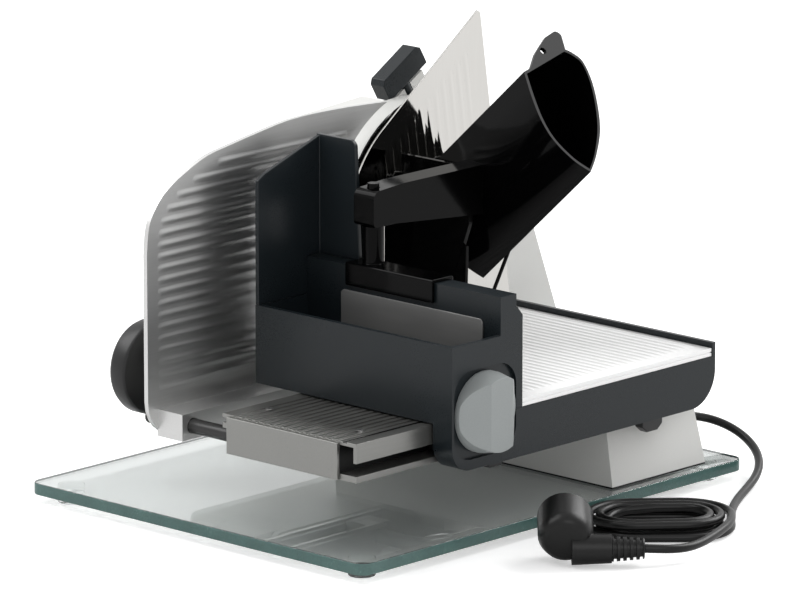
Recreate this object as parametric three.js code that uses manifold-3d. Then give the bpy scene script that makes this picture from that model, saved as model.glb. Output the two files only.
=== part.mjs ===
// Food slicer on a glass base: a cantilevered aluminium bed, a sliding carriage with hand guard,
// a driven round blade behind a ribbed cover plate, an adjustable stop plate and a feed chute.
// Millimetres, +Z up, +X to the operator's right, +Y away from the operator.
import * as THREE from 'three';
import { mergeVertices } from 'three/addons/utils/BufferGeometryUtils.js';
import Module from 'manifold-3d';

const wasm = await Module();
wasm.setup();

// Clearances
const SEAT = 0.2;
const RUN = 0.4;

// Glass base
const GLASS_WIDTH = 306;
const GLASS_LENGTH = 373;
const GLASS_THICK = 8;
const GLASS_CORNER = 9;
const FOOT_HEIGHT = 6;
const FOOT_RADIUS = 9;
const FOOT_INSET = 20;

// Pedestal that carries the whole machine
const GASKET_THICK = 1;
const PEDESTAL_HEIGHT = 47.3;
const PEDESTAL_LEFT = -112;
const PEDESTAL_RIGHT = 144;
const PEDESTAL_FRONT = 62.6;
const PEDESTAL_DEPTH = 93.4;
const PEDESTAL_SIDE_LEAN = 0.22;
const PEDESTAL_END_LEAN = 0.075;
const PEDESTAL_WALL = 4;

// Bed extrusion
const BED_LEFT = 23.2;
const BED_WIDTH = 114;
const BED_HEIGHT = 25.7;
const BED_FRONT = -176;
const BED_LENGTH = 324;
const BED_WALL = 2.6;
const BED_LIP = 5.5;
const BED_GROOVE_PITCH = 6.5;
const BED_GROOVE_DEPTH = 0.9;
const CHANNEL_DEPTH = 15;
const CHANNEL_LIP = 13;
const CHANNEL_SLOT = 8.6;
const COVER_THICK = 2;

// Blade and its drive
const BLADE_PLANE = -40;
const BLADE_RADIUS = 85;
const BLADE_Y = 82;
const BLADE_Z = 168.4;
const BLADE_THICK = 2;
const SHAFT_RADIUS = 7;
const SHAFT_LENGTH = 84;
const WHEEL_TEETH = 34;
const GEAR_MODULE = 2.5;
const WHEEL_WIDTH = 10;
const WHEEL_BACK = 71;
const WORM_PITCH_RADIUS = 9;
const WORM_LENGTH = 46;
const MOTOR_RADIUS = 26;
const MOTOR_LENGTH = 44;

// Blade cover plate
const COVER_SHEET = 1.4;
const COVER_GAP = 1.6;
const COVER_RADIUS = 82.6;
const COVER_EDGE_SLOPE = 36.2;
const COVER_TIP_Y = 126.5;
const COVER_LEAN = 0.149;
const COVER_RIB_PITCH = 8;
const COVER_RIB_HEIGHT = 0.16;
const COVER_BORDER = 13;

// Machine frame and motor housing
const FRAME_FRONT = -67;
const FRAME_THICK = 5;
const HOUSING_BACK = -148;
const HOUSING_WALL = 3;
const TOWER_RIGHT = 216.5;
const TOWER_LEFT = -40;
const TOWER_TOP = 228;
const ARM_FRONT = -118;
const ARM_TOP = 112;
const ARM_BACK = -112;

// Stop plate and its adjuster
const STOP_FACE = -49;
const STOP_THICK = 3.4;
const STOP_FRONT = -177.5;
const STOP_BOTTOM = 59;
const STOP_TOP = 252.7;
const STOP_CORNER = 25;
const STOP_RIGHT = 45;
const STOP_RIB_PITCH = 7.8;
const STOP_RIB_HEIGHT = 0.5;
const STOP_RIB_LOW = 94;
const STOP_LEDGE = 22;
const STOP_BLADE_GAP = 2.5;
const ROD_RADIUS = 5;
const ROD_Z = 69;
const ROD_FRONT_Y = -158;
const ROD_REAR_Y = 20;
const ADJUST_Y = -105;
const ADJUST_Z = 84;
const SPINDLE_RADIUS = 4;
const NUT_RADIUS = 8;
const NUT_LENGTH = 36;
const KNOB_RADIUS = 32;
const KNOB_DEPTH = 16;

// Carriage
const CARRIAGE_LEFT = -34;
const CARRIAGE_REACH = 18.8;
const CARRIAGE_FRONT = -106.5;
const CARRIAGE_BACK = 151.5;
const CARRIAGE_WALL = 4;
const BOX_LEFT = -20;
const BOX_TOP = 142.4;
const HAND_DEPTH = 46;
const FAR_WALL_THICK = 15;
const FAR_WALL_TOP = 168;
const GUARD_TOP = 248.4;
const GUARD_WALL = 3;
const GUARD_WIDTH = 36;
const FLOOR_TOP = 98;
const FLOOR_THICK = 6.4;
const FLOOR_RIB_PITCH = 6.4;
const FLOOR_BORDER = 8;
const CHEEK_DEPTH = 6;
const SKIRT_BOTTOM = 58.7;
const RAIL_TOP = 101;
const CARRIAGE_GAP = 1.2;
const PANEL_LEFT = 15;
const PANEL_RIGHT = 141;
const PANEL_TOP = 151.3;
const SHOE_BACK = 30;
const GLIDE_FRONT = 36;
const GLIDE_REAR = 68;
const GLIDE_LENGTH = 20;
const GLIDE_DROP = 9;

// Carriage lock knob
const LOCK_Y = -75;
const LOCK_Z = 95;
const LOCK_RADIUS = 27;
const LOCK_BASE = 4;
const LOCK_GRIP = 13;
const LOCK_GRIP_WIDTH = 21;
const LOCK_RECESS = 2.5;

// Feed chute
const CHUTE_TILT = 42.3;
const CHUTE_MOUTH_X = -11;
const CHUTE_MOUTH_Z = 167.6;
const CHUTE_Y = 67.8;
const CHUTE_START = 12;
const CHUTE_LENGTH = 141;
const CHUTE_WIDTH = 67;
const CHUTE_HEIGHT = 93;
const CHUTE_WALL = 2.4;
const PIVOT_X = 35;
const PIVOT_Y = -52;
const PIVOT_RADIUS = 4;
const ARM_RISE = 28;
const APRON_DROP = 17;
const TRAY_LEFT = 20;
const TRAY_RIGHT = 98;
const TRAY_SHEET = 2.2;
const LEG_RADIUS = 1.3;

// Power switch
const SWITCH_Y = 88.5;
const SWITCH_Z = 261.5;
const SWITCH_X = -75;
const SWITCH_TILT = 31;
const SWITCH_LONG = 42;
const SWITCH_HIGH = 16;
const SWITCH_DEEP = 12.6;
const SWITCH_TRAVEL = 3;

// Mains cord
const CORD_RADIUS = 2.9;
const GLAND_X = 90;
const GLAND_Z = 32;
const GLAND_LENGTH = 20;
const HANK_X = 198;
const HANK_Y = 46.5;
const HANK_TURN = 45;
const HANK_STRAIGHT = 15;
const HANK_INNER = 17.7;
const HANK_STEP = 7;
const HANK_LAYER = 7.2;
const HANK_START = -0.25;
const HANK_END = 4.75;
const PLUG_X = 207;
const PLUG_Y = -54;
const PLUG_RADIUS = 18;
const PLUG_LENGTH = 32;
const BOOT_X = 234.5;
const BOOT_Y = -39.7;
const BOOT_Z = 11;
const BOOT_HEADING = 45;
const BOOT_LENGTH = 21;

// Levels and places that follow from the sizes above
const glassTop = FOOT_HEIGHT + GLASS_THICK;
const gasketTop = glassTop + SEAT + GASKET_THICK;
const pedestalBottom = gasketTop + SEAT;
const pedestalTop = pedestalBottom + PEDESTAL_HEIGHT;
const bedBottom = pedestalTop + SEAT;
const bedTop = bedBottom + BED_HEIGHT;
const bedRight = BED_LEFT + BED_WIDTH;
const bedBack = BED_FRONT + BED_LENGTH;
const carriageRight = bedRight + CARRIAGE_REACH;
const deckBottom = bedTop + CARRIAGE_GAP;
const floorBottom = FLOOR_TOP - FLOOR_THICK;
const farWallFront = CARRIAGE_FRONT + HAND_DEPTH;
const farWallBack = farWallFront + FAR_WALL_THICK;
const cheekBack = farWallBack + CHEEK_DEPTH;
const slotBottom = bedTop - CHANNEL_LIP - CHANNEL_SLOT;
const coverBack = BLADE_PLANE + COVER_GAP;
const coverFront = coverBack + COVER_SHEET;
const frameBack = FRAME_FRONT - FRAME_THICK;
const stopBack = STOP_FACE - STOP_THICK;
const wheelRadius = GEAR_MODULE * WHEEL_TEETH / 2;
const wheelX = BLADE_PLANE - WHEEL_BACK;
const wormZ = BLADE_Z - wheelRadius - WORM_PITCH_RADIUS;
const switchPlinth = -SWITCH_HIGH / 2 - SWITCH_TRAVEL - 1;

// Finishes
function finish(color, roughness, metalness) {
  return new THREE.MeshStandardMaterial({ color, roughness, metalness });
}
const clearGlass = finish(0xbfd4cc, 0.05, 0);
const greyPaint = finish(0xc9c9c4, 0.4, 0.1);
const aluminium = finish(0xb9b7b2, 0.35, 0.9);
const polishedSteel = finish(0xd8d6d2, 0.1, 1);
const darkPlastic = finish(0x2a3035, 0.5, 0);
const blackPlastic = finish(0x101010, 0.15, 0);
const blackRubber = finish(0x151515, 0.8, 0);
const knobGrey = finish(0x9ea3a2, 0.45, 0);
const steel = finish(0x9a9a9a, 0.35, 1);
const gearNylon = finish(0xe6e2d6, 0.6, 0);

const slicer = new THREE.Group();
const machine = new THREE.Group();
const cordSet = new THREE.Group();
slicer.add(machine, cordSet);

// Solid helpers
function toSolid(geometry) {
  const loose = geometry.index ? geometry.toNonIndexed() : geometry.clone();
  loose.deleteAttribute('normal');
  loose.deleteAttribute('uv');
  const merged = mergeVertices(loose, 1e-4);
  const vertProperties = Float32Array.from(merged.attributes.position.array);
  const triVerts = Uint32Array.from(merged.index.array);
  return new wasm.Manifold(new wasm.Mesh({ numProp: 3, vertProperties, triVerts }));
}

function toGeometry(solid) {
  const mesh = solid.getMesh();
  const geometry = new THREE.BufferGeometry();
  geometry.setAttribute('position', new THREE.BufferAttribute(mesh.vertProperties, 3));
  geometry.setIndex(new THREE.BufferAttribute(mesh.triVerts, 1));
  geometry.computeVertexNormals();
  return geometry;
}

function join(first, ...others) {
  return others.reduce((sum, solid) => sum.add(solid), first);
}

function cut(first, ...others) {
  return others.reduce((rest, solid) => rest.subtract(solid), first);
}

function place(group, name, solid, material) {
  const mesh = new THREE.Mesh(toGeometry(solid), material);
  mesh.name = name;
  group.add(mesh);
}

function box(x0, x1, y0, y1, z0, z1) {
  const geometry = new THREE.BoxGeometry(x1 - x0, y1 - y0, z1 - z0);
  geometry.translate((x0 + x1) / 2, (y0 + y1) / 2, (z0 + z1) / 2);
  return toSolid(geometry);
}

// A prism of a shape drawn in (Y, Z), (X, Z) or (X, Y), between two stations of the third axis
const turnToX = new THREE.Matrix4().set(0, 0, 1, 0, 1, 0, 0, 0, 0, 1, 0, 0, 0, 0, 0, 1);
const turnToY = new THREE.Matrix4().set(1, 0, 0, 0, 0, 0, -1, 0, 0, 1, 0, 0, 0, 0, 0, 1);

function prismX(shape, low, high, curveSegments = 8) {
  const geometry = new THREE.ExtrudeGeometry(shape, { depth: high - low, bevelEnabled: false, curveSegments });
  return toSolid(geometry.applyMatrix4(turnToX).translate(low, 0, 0));
}

function prismY(shape, low, high, curveSegments = 8) {
  const geometry = new THREE.ExtrudeGeometry(shape, { depth: high - low, bevelEnabled: false, curveSegments });
  return toSolid(geometry.applyMatrix4(turnToY).translate(0, high, 0));
}

function prismZ(shape, low, high, curveSegments = 8) {
  const geometry = new THREE.ExtrudeGeometry(shape, { depth: high - low, bevelEnabled: false, curveSegments });
  return toSolid(geometry.translate(0, 0, low));
}

// A closed outline with round corners: each corner is [u, v] or [u, v, radius]
function outline(corners) {
  const shape = new THREE.Shape();
  corners.forEach(([u, v, radius = 0], i) => {
    const corner = new THREE.Vector2(u, v);
    const before = new THREE.Vector2(...corners.at(i - 1).slice(0, 2)).sub(corner).normalize();
    const after = new THREE.Vector2(...corners[(i + 1) % corners.length].slice(0, 2)).sub(corner).normalize();
    const half = Math.acos(THREE.MathUtils.clamp(before.dot(after), -1, 1)) / 2;
    const start = corner.clone().addScaledVector(before, radius / Math.tan(half));
    if (i === 0) {
      shape.moveTo(start.x, start.y);
    } else {
      shape.lineTo(start.x, start.y);
    }
    if (radius > 0) {
      const end = corner.clone().addScaledVector(after, radius / Math.tan(half));
      const centre = before.clone().add(after).normalize().multiplyScalar(radius / Math.sin(half)).add(corner);
      const from = start.clone().sub(centre).angle();
      const to = end.clone().sub(centre).angle();
      shape.absarc(centre.x, centre.y, radius, from, to, before.cross(after) > 0);
    }
  });
  shape.closePath();
  return shape;
}

function disc(u, v, radius) {
  const shape = new THREE.Shape();
  shape.absarc(u, v, radius, 0, Math.PI * 2);
  return shape;
}

// A body turned about an X-parallel axis through (y, z): profile points are [x, radius]
function turnedX(profile, y, z, segments = 48) {
  const points = profile.map(([x, radius]) => new THREE.Vector2(radius, x));
  const geometry = new THREE.LatheGeometry(points, segments);
  geometry.applyMatrix4(new THREE.Matrix4().makeRotationZ(-Math.PI / 2)).translate(0, y, z);
  return toSolid(geometry);
}

function rodX(radius, x0, x1, y, z, segments = 24) {
  return turnedX([[x0, 0], [x0, radius], [x1, radius], [x1, 0]], y, z, segments);
}

function rodZ(radius, x, y, z0, z1, segments = 24) {
  const geometry = new THREE.CylinderGeometry(radius, radius, z1 - z0, segments);
  return toSolid(geometry.rotateX(Math.PI / 2).translate(x, y, (z0 + z1) / 2));
}

function rodY(radius, x, z, y0, y1, segments = 24) {
  const geometry = new THREE.CylinderGeometry(radius, radius, y1 - y0, segments);
  return toSolid(geometry.translate(x, (y0 + y1) / 2, z));
}

// Glass base and its clear feet
function buildGlass() {
  const halfX = GLASS_WIDTH / 2;
  const halfY = GLASS_LENGTH / 2;
  const rim = outline([
    [-halfX, -halfY, GLASS_CORNER], [halfX, -halfY, GLASS_CORNER],
    [halfX, halfY, GLASS_CORNER], [-halfX, halfY, GLASS_CORNER],
  ]);
  place(machine, 'glass_base', prismZ(rim, FOOT_HEIGHT, glassTop), clearGlass);
  let corner = 0;
  for (const sideX of [-1, 1]) {
    for (const sideY of [-1, 1]) {
      corner += 1;
      const x = sideX * (halfX - FOOT_INSET);
      const y = sideY * (halfY - FOOT_INSET);
      place(machine, `glass_foot_${corner}`, rodZ(FOOT_RADIUS, x, y, 0, FOOT_HEIGHT - SEAT), clearGlass);
    }
  }
}

// Frustum between two levels whose faces lean in towards the top
function frustum(left, right, front, back, low, high, inset) {
  const rise = high - low;
  const lean = { left: 0, right: PEDESTAL_SIDE_LEAN * rise, end: PEDESTAL_END_LEAN * rise };
  const ring = (grow, z) => [
    [left + inset, front + inset + lean.end * grow, z],
    [right - inset - lean.right * grow, front + inset + lean.end * grow, z],
    [right - inset - lean.right * grow, back - inset - lean.end * grow, z],
    [left + inset, back - inset - lean.end * grow, z],
  ];
  const geometry = new THREE.BufferGeometry();
  const corners = [...ring(0, low), ...ring(1, high)].flat();
  geometry.setAttribute('position', new THREE.Float32BufferAttribute(corners, 3));
  geometry.setIndex([0, 2, 1, 0, 3, 2, 4, 5, 6, 4, 6, 7, 0, 1, 5, 0, 5, 4, 1, 2, 6, 1, 6, 5,
    2, 3, 7, 2, 7, 6, 3, 0, 4, 3, 4, 7]);
  return toSolid(geometry);
}

// Pedestal shell, open below, on a thin gasket
function buildPedestal() {
  const back = PEDESTAL_FRONT + PEDESTAL_DEPTH;
  const shell = cut(
    frustum(PEDESTAL_LEFT, PEDESTAL_RIGHT, PEDESTAL_FRONT, back, pedestalBottom, pedestalTop, 0),
    frustum(PEDESTAL_LEFT, PEDESTAL_RIGHT, PEDESTAL_FRONT, back, pedestalBottom - 1,
      pedestalTop - PEDESTAL_WALL, PEDESTAL_WALL),
    rodY(CORD_RADIUS + 1, GLAND_X, GLAND_Z, back - PEDESTAL_WALL * 4, back + 1, 16),
  );
  place(machine, 'pedestal', shell, greyPaint);
  const rim = outline([[PEDESTAL_LEFT, PEDESTAL_FRONT], [PEDESTAL_RIGHT, PEDESTAL_FRONT],
    [PEDESTAL_RIGHT, back], [PEDESTAL_LEFT, back]]);
  const inner = PEDESTAL_WALL;
  rim.holes.push(outline([[PEDESTAL_LEFT + inner, PEDESTAL_FRONT + inner],
    [PEDESTAL_LEFT + inner, back - inner], [PEDESTAL_RIGHT - inner, back - inner],
    [PEDESTAL_RIGHT - inner, PEDESTAL_FRONT + inner]]));
  place(machine, 'base_gasket', prismZ(rim, glassTop + SEAT, gasketTop), blackRubber);
}

// Bed: a hollow extrusion with a grooved top, a lipped left side and a slotted channel on the right
function buildBed() {
  const groove = BED_GROOVE_PITCH / 2;
  const count = Math.floor((BED_WIDTH - BED_GROOVE_PITCH) / BED_GROOVE_PITCH);
  const top = [];
  for (let i = count - 1; i >= 0; i -= 1) {
    const x = BED_LEFT + BED_GROOVE_PITCH * (i + 1);
    top.push([x + groove / 2, bedTop], [x + groove / 2, bedTop - BED_GROOVE_DEPTH]);
    top.push([x - groove / 2, bedTop - BED_GROOVE_DEPTH], [x - groove / 2, bedTop]);
  }
  const lipBottom = bedTop - BED_WALL;
  const hookTop = lipBottom - BED_WALL * 1.3;
  const hookBottom = hookTop - BED_WALL * 1.4;
  const profile = outline([
    [BED_LEFT, bedBottom], [bedRight, bedBottom], [bedRight, slotBottom],
    [bedRight - CHANNEL_DEPTH, slotBottom], [bedRight - CHANNEL_DEPTH, bedTop - BED_WALL],
    [bedRight - BED_WALL, bedTop - BED_WALL], [bedRight - BED_WALL, bedTop - CHANNEL_LIP],
    [bedRight, bedTop - CHANNEL_LIP], [bedRight, bedTop],
    ...top,
    [BED_LEFT - BED_LIP, bedTop], [BED_LEFT - BED_LIP, lipBottom], [BED_LEFT, lipBottom],
    [BED_LEFT, hookTop], [BED_LEFT - BED_LIP, hookTop], [BED_LEFT - BED_LIP, hookBottom],
    [BED_LEFT, hookBottom],
  ]);
  const inLeft = BED_LEFT + BED_WALL;
  const inRight = bedRight - CHANNEL_DEPTH - BED_WALL;
  const inTop = bedTop - BED_WALL - BED_GROOVE_DEPTH;
  const middle = (inLeft + inRight) / 2;
  const half = BED_WALL / 2;
  const hollow = (x0, x1) => box(x0, x1, BED_FRONT - 1, bedBack + 1, bedBottom + BED_WALL, inTop);
  const bar = cut(prismY(profile, BED_FRONT, bedBack), hollow(inLeft, middle - half),
    hollow(middle + half, inRight));
  place(machine, 'bed_extrusion', bar, aluminium);
  const plate = outline([[BED_LEFT, bedBottom], [bedRight - CHANNEL_DEPTH, bedBottom],
    [bedRight - CHANNEL_DEPTH, bedTop - BED_WALL / 2], [BED_LEFT, bedTop - BED_WALL / 2]]);
  place(machine, 'bed_cover_front', prismY(plate, BED_FRONT - SEAT - COVER_THICK, BED_FRONT - SEAT), aluminium);
  place(machine, 'bed_cover_rear', prismY(plate, bedBack + SEAT, bedBack + SEAT + COVER_THICK), aluminium);
  const screwY = BED_FRONT + 28;
  const screwFace = bedTop + SEAT / 2;
  const headHeight = 0.7;
  place(machine, 'bed_screw_left', rodZ(2.6, BED_LEFT + BED_GROOVE_PITCH * 1.5, screwY, screwFace,
    screwFace + headHeight, 16), steel);
  place(machine, 'bed_screw_right', rodZ(2.6, bedRight - BED_GROOVE_PITCH * 3.5, screwY, screwFace,
    screwFace + headHeight, 16), steel);
}

// Side view of the tower, drawn in (Y, Z); grow moves the outline out or in
function towerOutline(grow) {
  return outline([
    [TOWER_LEFT - grow, bedBottom - grow, 6 + grow], [TOWER_RIGHT + grow, bedBottom - grow, 12 + grow],
    [TOWER_RIGHT - 53 + grow, TOWER_TOP - 27, 40 + grow],
    [TOWER_RIGHT - 82 + grow, TOWER_TOP + grow, 16 + grow],
    [TOWER_LEFT + 84 - grow, TOWER_TOP - 6 + grow, 90 + grow],
    [TOWER_LEFT + 4 - grow, TOWER_TOP - 36, 32 + grow],
  ]);
}

function armOutline(grow) {
  return outline([
    [ARM_FRONT - grow, bedBottom - grow, 8 + grow], [TOWER_LEFT + 20, bedBottom - grow],
    [TOWER_LEFT + 20, ARM_TOP + grow], [ARM_FRONT - grow, ARM_TOP + grow, 22 + grow],
  ]);
}

// The switch block leans beside the cover plate's edge
function leaning(solidAtOrigin) {
  return solidAtOrigin.rotate([SWITCH_TILT, 0, 0]).translate([SWITCH_X, SWITCH_Y, SWITCH_Z]);
}

// Room that the switch button needs at rest and when it is pressed
function switchRoom() {
  const halfLong = SWITCH_LONG / 2 + RUN;
  const halfDeep = SWITCH_DEEP / 2 + RUN;
  return leaning(box(-halfDeep, halfDeep, -halfLong, halfLong, switchPlinth - SEAT, SWITCH_HIGH + RUN));
}

// Motor housing: a tower shell open to the frame, with the adjuster arm and the switch plinth
function buildHousing() {
  const stemRadius = 4;
  const tower = prismX(towerOutline(0), HOUSING_BACK, frameBack - SEAT, 6);
  const arm = prismX(armOutline(0), ARM_BACK, frameBack - SEAT, 8);
  const plinthTop = switchPlinth;
  const plinthFoot = plinthTop - 44;
  const plinth = leaning(box(-SWITCH_DEEP / 2 + 1, frameBack - SEAT - SWITCH_X, -SWITCH_LONG / 2 - 2,
    SWITCH_LONG / 2 - 4, plinthFoot, plinthTop));
  const swept = switchRoom();
  const stemBore = leaning(rodZ(stemRadius + RUN, 0, 0, plinthTop - 20, plinthTop + 30));
  const hollow = prismX(towerOutline(-HOUSING_WALL), HOUSING_BACK + HOUSING_WALL, frameBack + 1, 6);
  const bearingBoss = rodX(16, HOUSING_BACK + 1, BLADE_PLANE - SHAFT_LENGTH + 4, BLADE_Y, BLADE_Z);
  const bearingSeat = rodX(12 + SEAT, BLADE_PLANE - SHAFT_LENGTH - 6, BLADE_PLANE, BLADE_Y, BLADE_Z);
  const nutBore = rodX(NUT_RADIUS + RUN, ARM_BACK + 5, frameBack + 1, ADJUST_Y, ADJUST_Z);
  const spindleBore = rodX(SPINDLE_RADIUS + RUN, ARM_BACK - 1, frameBack, ADJUST_Y, ADJUST_Z);
  const shell = cut(join(cut(tower, hollow), arm, plinth, bearingBoss), swept, stemBore, bearingSeat, nutBore,
    spindleBore);
  place(machine, 'motor_housing', shell, greyPaint);
  const button = join(leaning(chamferedBlock()),
    leaning(rodZ(stemRadius, 0, 0, plinthTop - 12, -SWITCH_HIGH / 2 + 1)));
  place(machine, 'power_switch', button, darkPlastic);
}

function chamferedBlock() {
  const halfLong = SWITCH_LONG / 2;
  const halfHigh = SWITCH_HIGH / 2;
  const chamfer = 3;
  const side = outline([[-halfLong, -halfHigh], [halfLong, -halfHigh], [halfLong, halfHigh - chamfer],
    [halfLong - chamfer, halfHigh], [-halfLong + chamfer, halfHigh], [-halfLong, halfHigh - chamfer]]);
  return prismX(side, -SWITCH_DEEP / 2, SWITCH_DEEP / 2);
}

// Outline of the blade cover plate, drawn in (Y, Z)
function coverOutline(inset) {
  const slope = THREE.MathUtils.degToRad(COVER_EDGE_SLOPE);
  const radius = COVER_RADIUS - inset;
  const tangent = Math.PI / 2 + slope;
  const bottom = BLADE_Z - COVER_RADIUS + inset;
  const touchY = BLADE_Y + radius * Math.cos(tangent);
  const touchZ = BLADE_Z + radius * Math.sin(tangent);
  const tipZ = touchZ + (COVER_TIP_Y - inset - touchY) * Math.tan(slope);
  const tipRight = COVER_TIP_Y + 3 - inset;
  const bottomRight = tipRight + (tipZ - bottom) * COVER_LEAN;
  const shape = new THREE.Shape();
  shape.moveTo(BLADE_Y, bottom);
  shape.lineTo(bottomRight, bottom);
  shape.lineTo(tipRight, tipZ - 2);
  shape.lineTo(COVER_TIP_Y - inset, tipZ);
  shape.lineTo(touchY, touchZ);
  shape.absarc(BLADE_Y, BLADE_Z, radius, tangent, Math.PI * 1.5, false);
  return { shape, bottom, tipZ, bottomRight };
}

// Polished cover plate with upright embossed ribs
function buildCoverPlate() {
  const plate = coverOutline(0);
  const inner = coverOutline(COVER_BORDER);
  const field = prismX(inner.shape, coverBack + 0.2, coverFront + COVER_RIB_HEIGHT + 1, 24);
  const ribWidth = 3.6;
  const length = plate.tipZ - plate.bottom + 20;
  const section = new THREE.Shape();
  section.moveTo(-ribWidth / 2, 0);
  section.quadraticCurveTo(0, COVER_RIB_HEIGHT * 2, ribWidth / 2, 0);
  section.lineTo(ribWidth / 2, -0.4);
  section.lineTo(-ribWidth / 2, -0.4);
  let ribs = null;
  const leanAngle = THREE.MathUtils.radToDeg(Math.atan(COVER_LEAN));
  for (let y = plate.bottomRight - 12; y > BLADE_Y - COVER_RADIUS; y -= COVER_RIB_PITCH) {
    const settings = { depth: length, bevelEnabled: false, curveSegments: 3 };
    const geometry = new THREE.ExtrudeGeometry(section, settings);
    const turn = new THREE.Matrix4().set(0, 1, 0, 0, -1, 0, 0, 0, 0, 0, 1, 0, 0, 0, 0, 1);
    const rib = toSolid(geometry.applyMatrix4(turn));
    const set = rib.rotate([leanAngle, 0, 0]).translate([coverFront, y, plate.bottom]);
    ribs = ribs === null ? set : ribs.add(set);
  }
  const sheet = prismX(plate.shape, coverBack, coverFront, 24);
  place(machine, 'blade_cover_plate', join(sheet, ribs.intersect(field)), polishedSteel);
}

// Frame: the wall behind the stop plate, the drum behind the blade and the rim that holds the cover plate
function buildFrame() {
  const wall = prismX(towerOutline(0), frameBack, FRAME_FRONT, 6);
  const drumFront = BLADE_PLANE - BLADE_THICK - 3;
  const drum = turnedX([[FRAME_FRONT - 1, 62], [FRAME_FRONT - 1, 78], [drumFront, 78], [drumFront, 72],
    [FRAME_FRONT + 3, 62], [FRAME_FRONT - 1, 62]], BLADE_Y, BLADE_Z, 48);
  const hub = rodX(15, FRAME_FRONT - 1, drumFront - 4, BLADE_Y, BLADE_Z);
  const rimFront = coverBack - SEAT;
  const rimField = box(FRAME_FRONT - 1, rimFront, BLADE_Y + 14, TOWER_RIGHT + 20, bedBottom - 10, BLADE_Z + 8);
  const rimBody = prismX(towerOutline(0), FRAME_FRONT - 1, rimFront, 6).intersect(rimField);
  const bladeRoom = rodX(BLADE_RADIUS + STOP_BLADE_GAP, FRAME_FRONT, 0, BLADE_Y, BLADE_Z, 64);
  const rim = cut(rimBody, bladeRoom);
  const shaftBore = rodX(11 + SEAT, frameBack - 1, 0, BLADE_Y, BLADE_Z);
  const frame = cut(join(wall, drum, hub, rim), shaftBore, switchRoom());
  place(machine, 'machine_frame', frame, greyPaint);
  const bush = turnedX([[frameBack, SHAFT_RADIUS + RUN / 2], [frameBack, 11], [drumFront - 4, 11],
    [drumFront - 4, SHAFT_RADIUS + RUN / 2], [frameBack, SHAFT_RADIUS + RUN / 2]], BLADE_Y, BLADE_Z, 24);
  place(machine, 'front_bearing', bush, steel);
  const rear = BLADE_PLANE - SHAFT_LENGTH;
  const rearBush = turnedX([[rear - 4, SHAFT_RADIUS + RUN / 2], [rear - 4, 12], [rear + 3, 12],
    [rear + 3, SHAFT_RADIUS + RUN / 2], [rear - 4, SHAFT_RADIUS + RUN / 2]], BLADE_Y, BLADE_Z, 24);
  place(machine, 'rear_bearing', rearBush, steel);
}

// Blade: a hollow-ground disc on its shaft, with the worm wheel behind the frame
function buildBlade() {
  const back = BLADE_PLANE - BLADE_THICK;
  const hubHole = SHAFT_RADIUS + SEAT;
  const profile = [[back, hubHole], [back, BLADE_RADIUS - 6], [BLADE_PLANE - 0.4, BLADE_RADIUS],
    [BLADE_PLANE - 0.2, BLADE_RADIUS], [BLADE_PLANE, BLADE_RADIUS - 1], [BLADE_PLANE - 0.6, BLADE_RADIUS - 14],
    [BLADE_PLANE - 0.6, hubHole], [back, hubHole]];
  place(machine, 'blade', turnedX(profile, BLADE_Y, BLADE_Z, 60), polishedSteel);
  const rear = BLADE_PLANE - SHAFT_LENGTH;
  const shaft = turnedX([[rear, 0], [rear, SHAFT_RADIUS], [back - SEAT - 3, SHAFT_RADIUS],
    [back - SEAT - 3, SHAFT_RADIUS + 7], [back - SEAT, SHAFT_RADIUS + 7], [back - SEAT, SHAFT_RADIUS],
    [BLADE_PLANE - 1, SHAFT_RADIUS], [BLADE_PLANE - 1, 0]], BLADE_Y, BLADE_Z, 24);
  place(machine, 'blade_shaft', shaft, steel);
  const gear = new THREE.Shape();
  const tip = wheelRadius + GEAR_MODULE * 0.9;
  const root = wheelRadius - GEAR_MODULE * 1.2;
  const step = Math.PI * 2 / WHEEL_TEETH;
  for (let i = 0; i < WHEEL_TEETH; i += 1) {
    const middle = i * step - Math.PI / 2;
    const corners = [[root, -0.22], [tip, -0.1], [tip, 0.1], [root, 0.22]];
    corners.forEach(([radius, share], k) => {
      const angle = middle + share * step;
      const u = BLADE_Y + radius * Math.cos(angle);
      const v = BLADE_Z + radius * Math.sin(angle);
      if (i === 0 && k === 0) {
        gear.moveTo(u, v);
      } else {
        gear.lineTo(u, v);
      }
    });
  }
  gear.holes.push(new THREE.Path().absarc(BLADE_Y, BLADE_Z, SHAFT_RADIUS + SEAT, 0, Math.PI * 2, true));
  place(machine, 'worm_wheel', prismX(gear, wheelX - WHEEL_WIDTH / 2, wheelX + WHEEL_WIDTH / 2), gearNylon);
}

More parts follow.
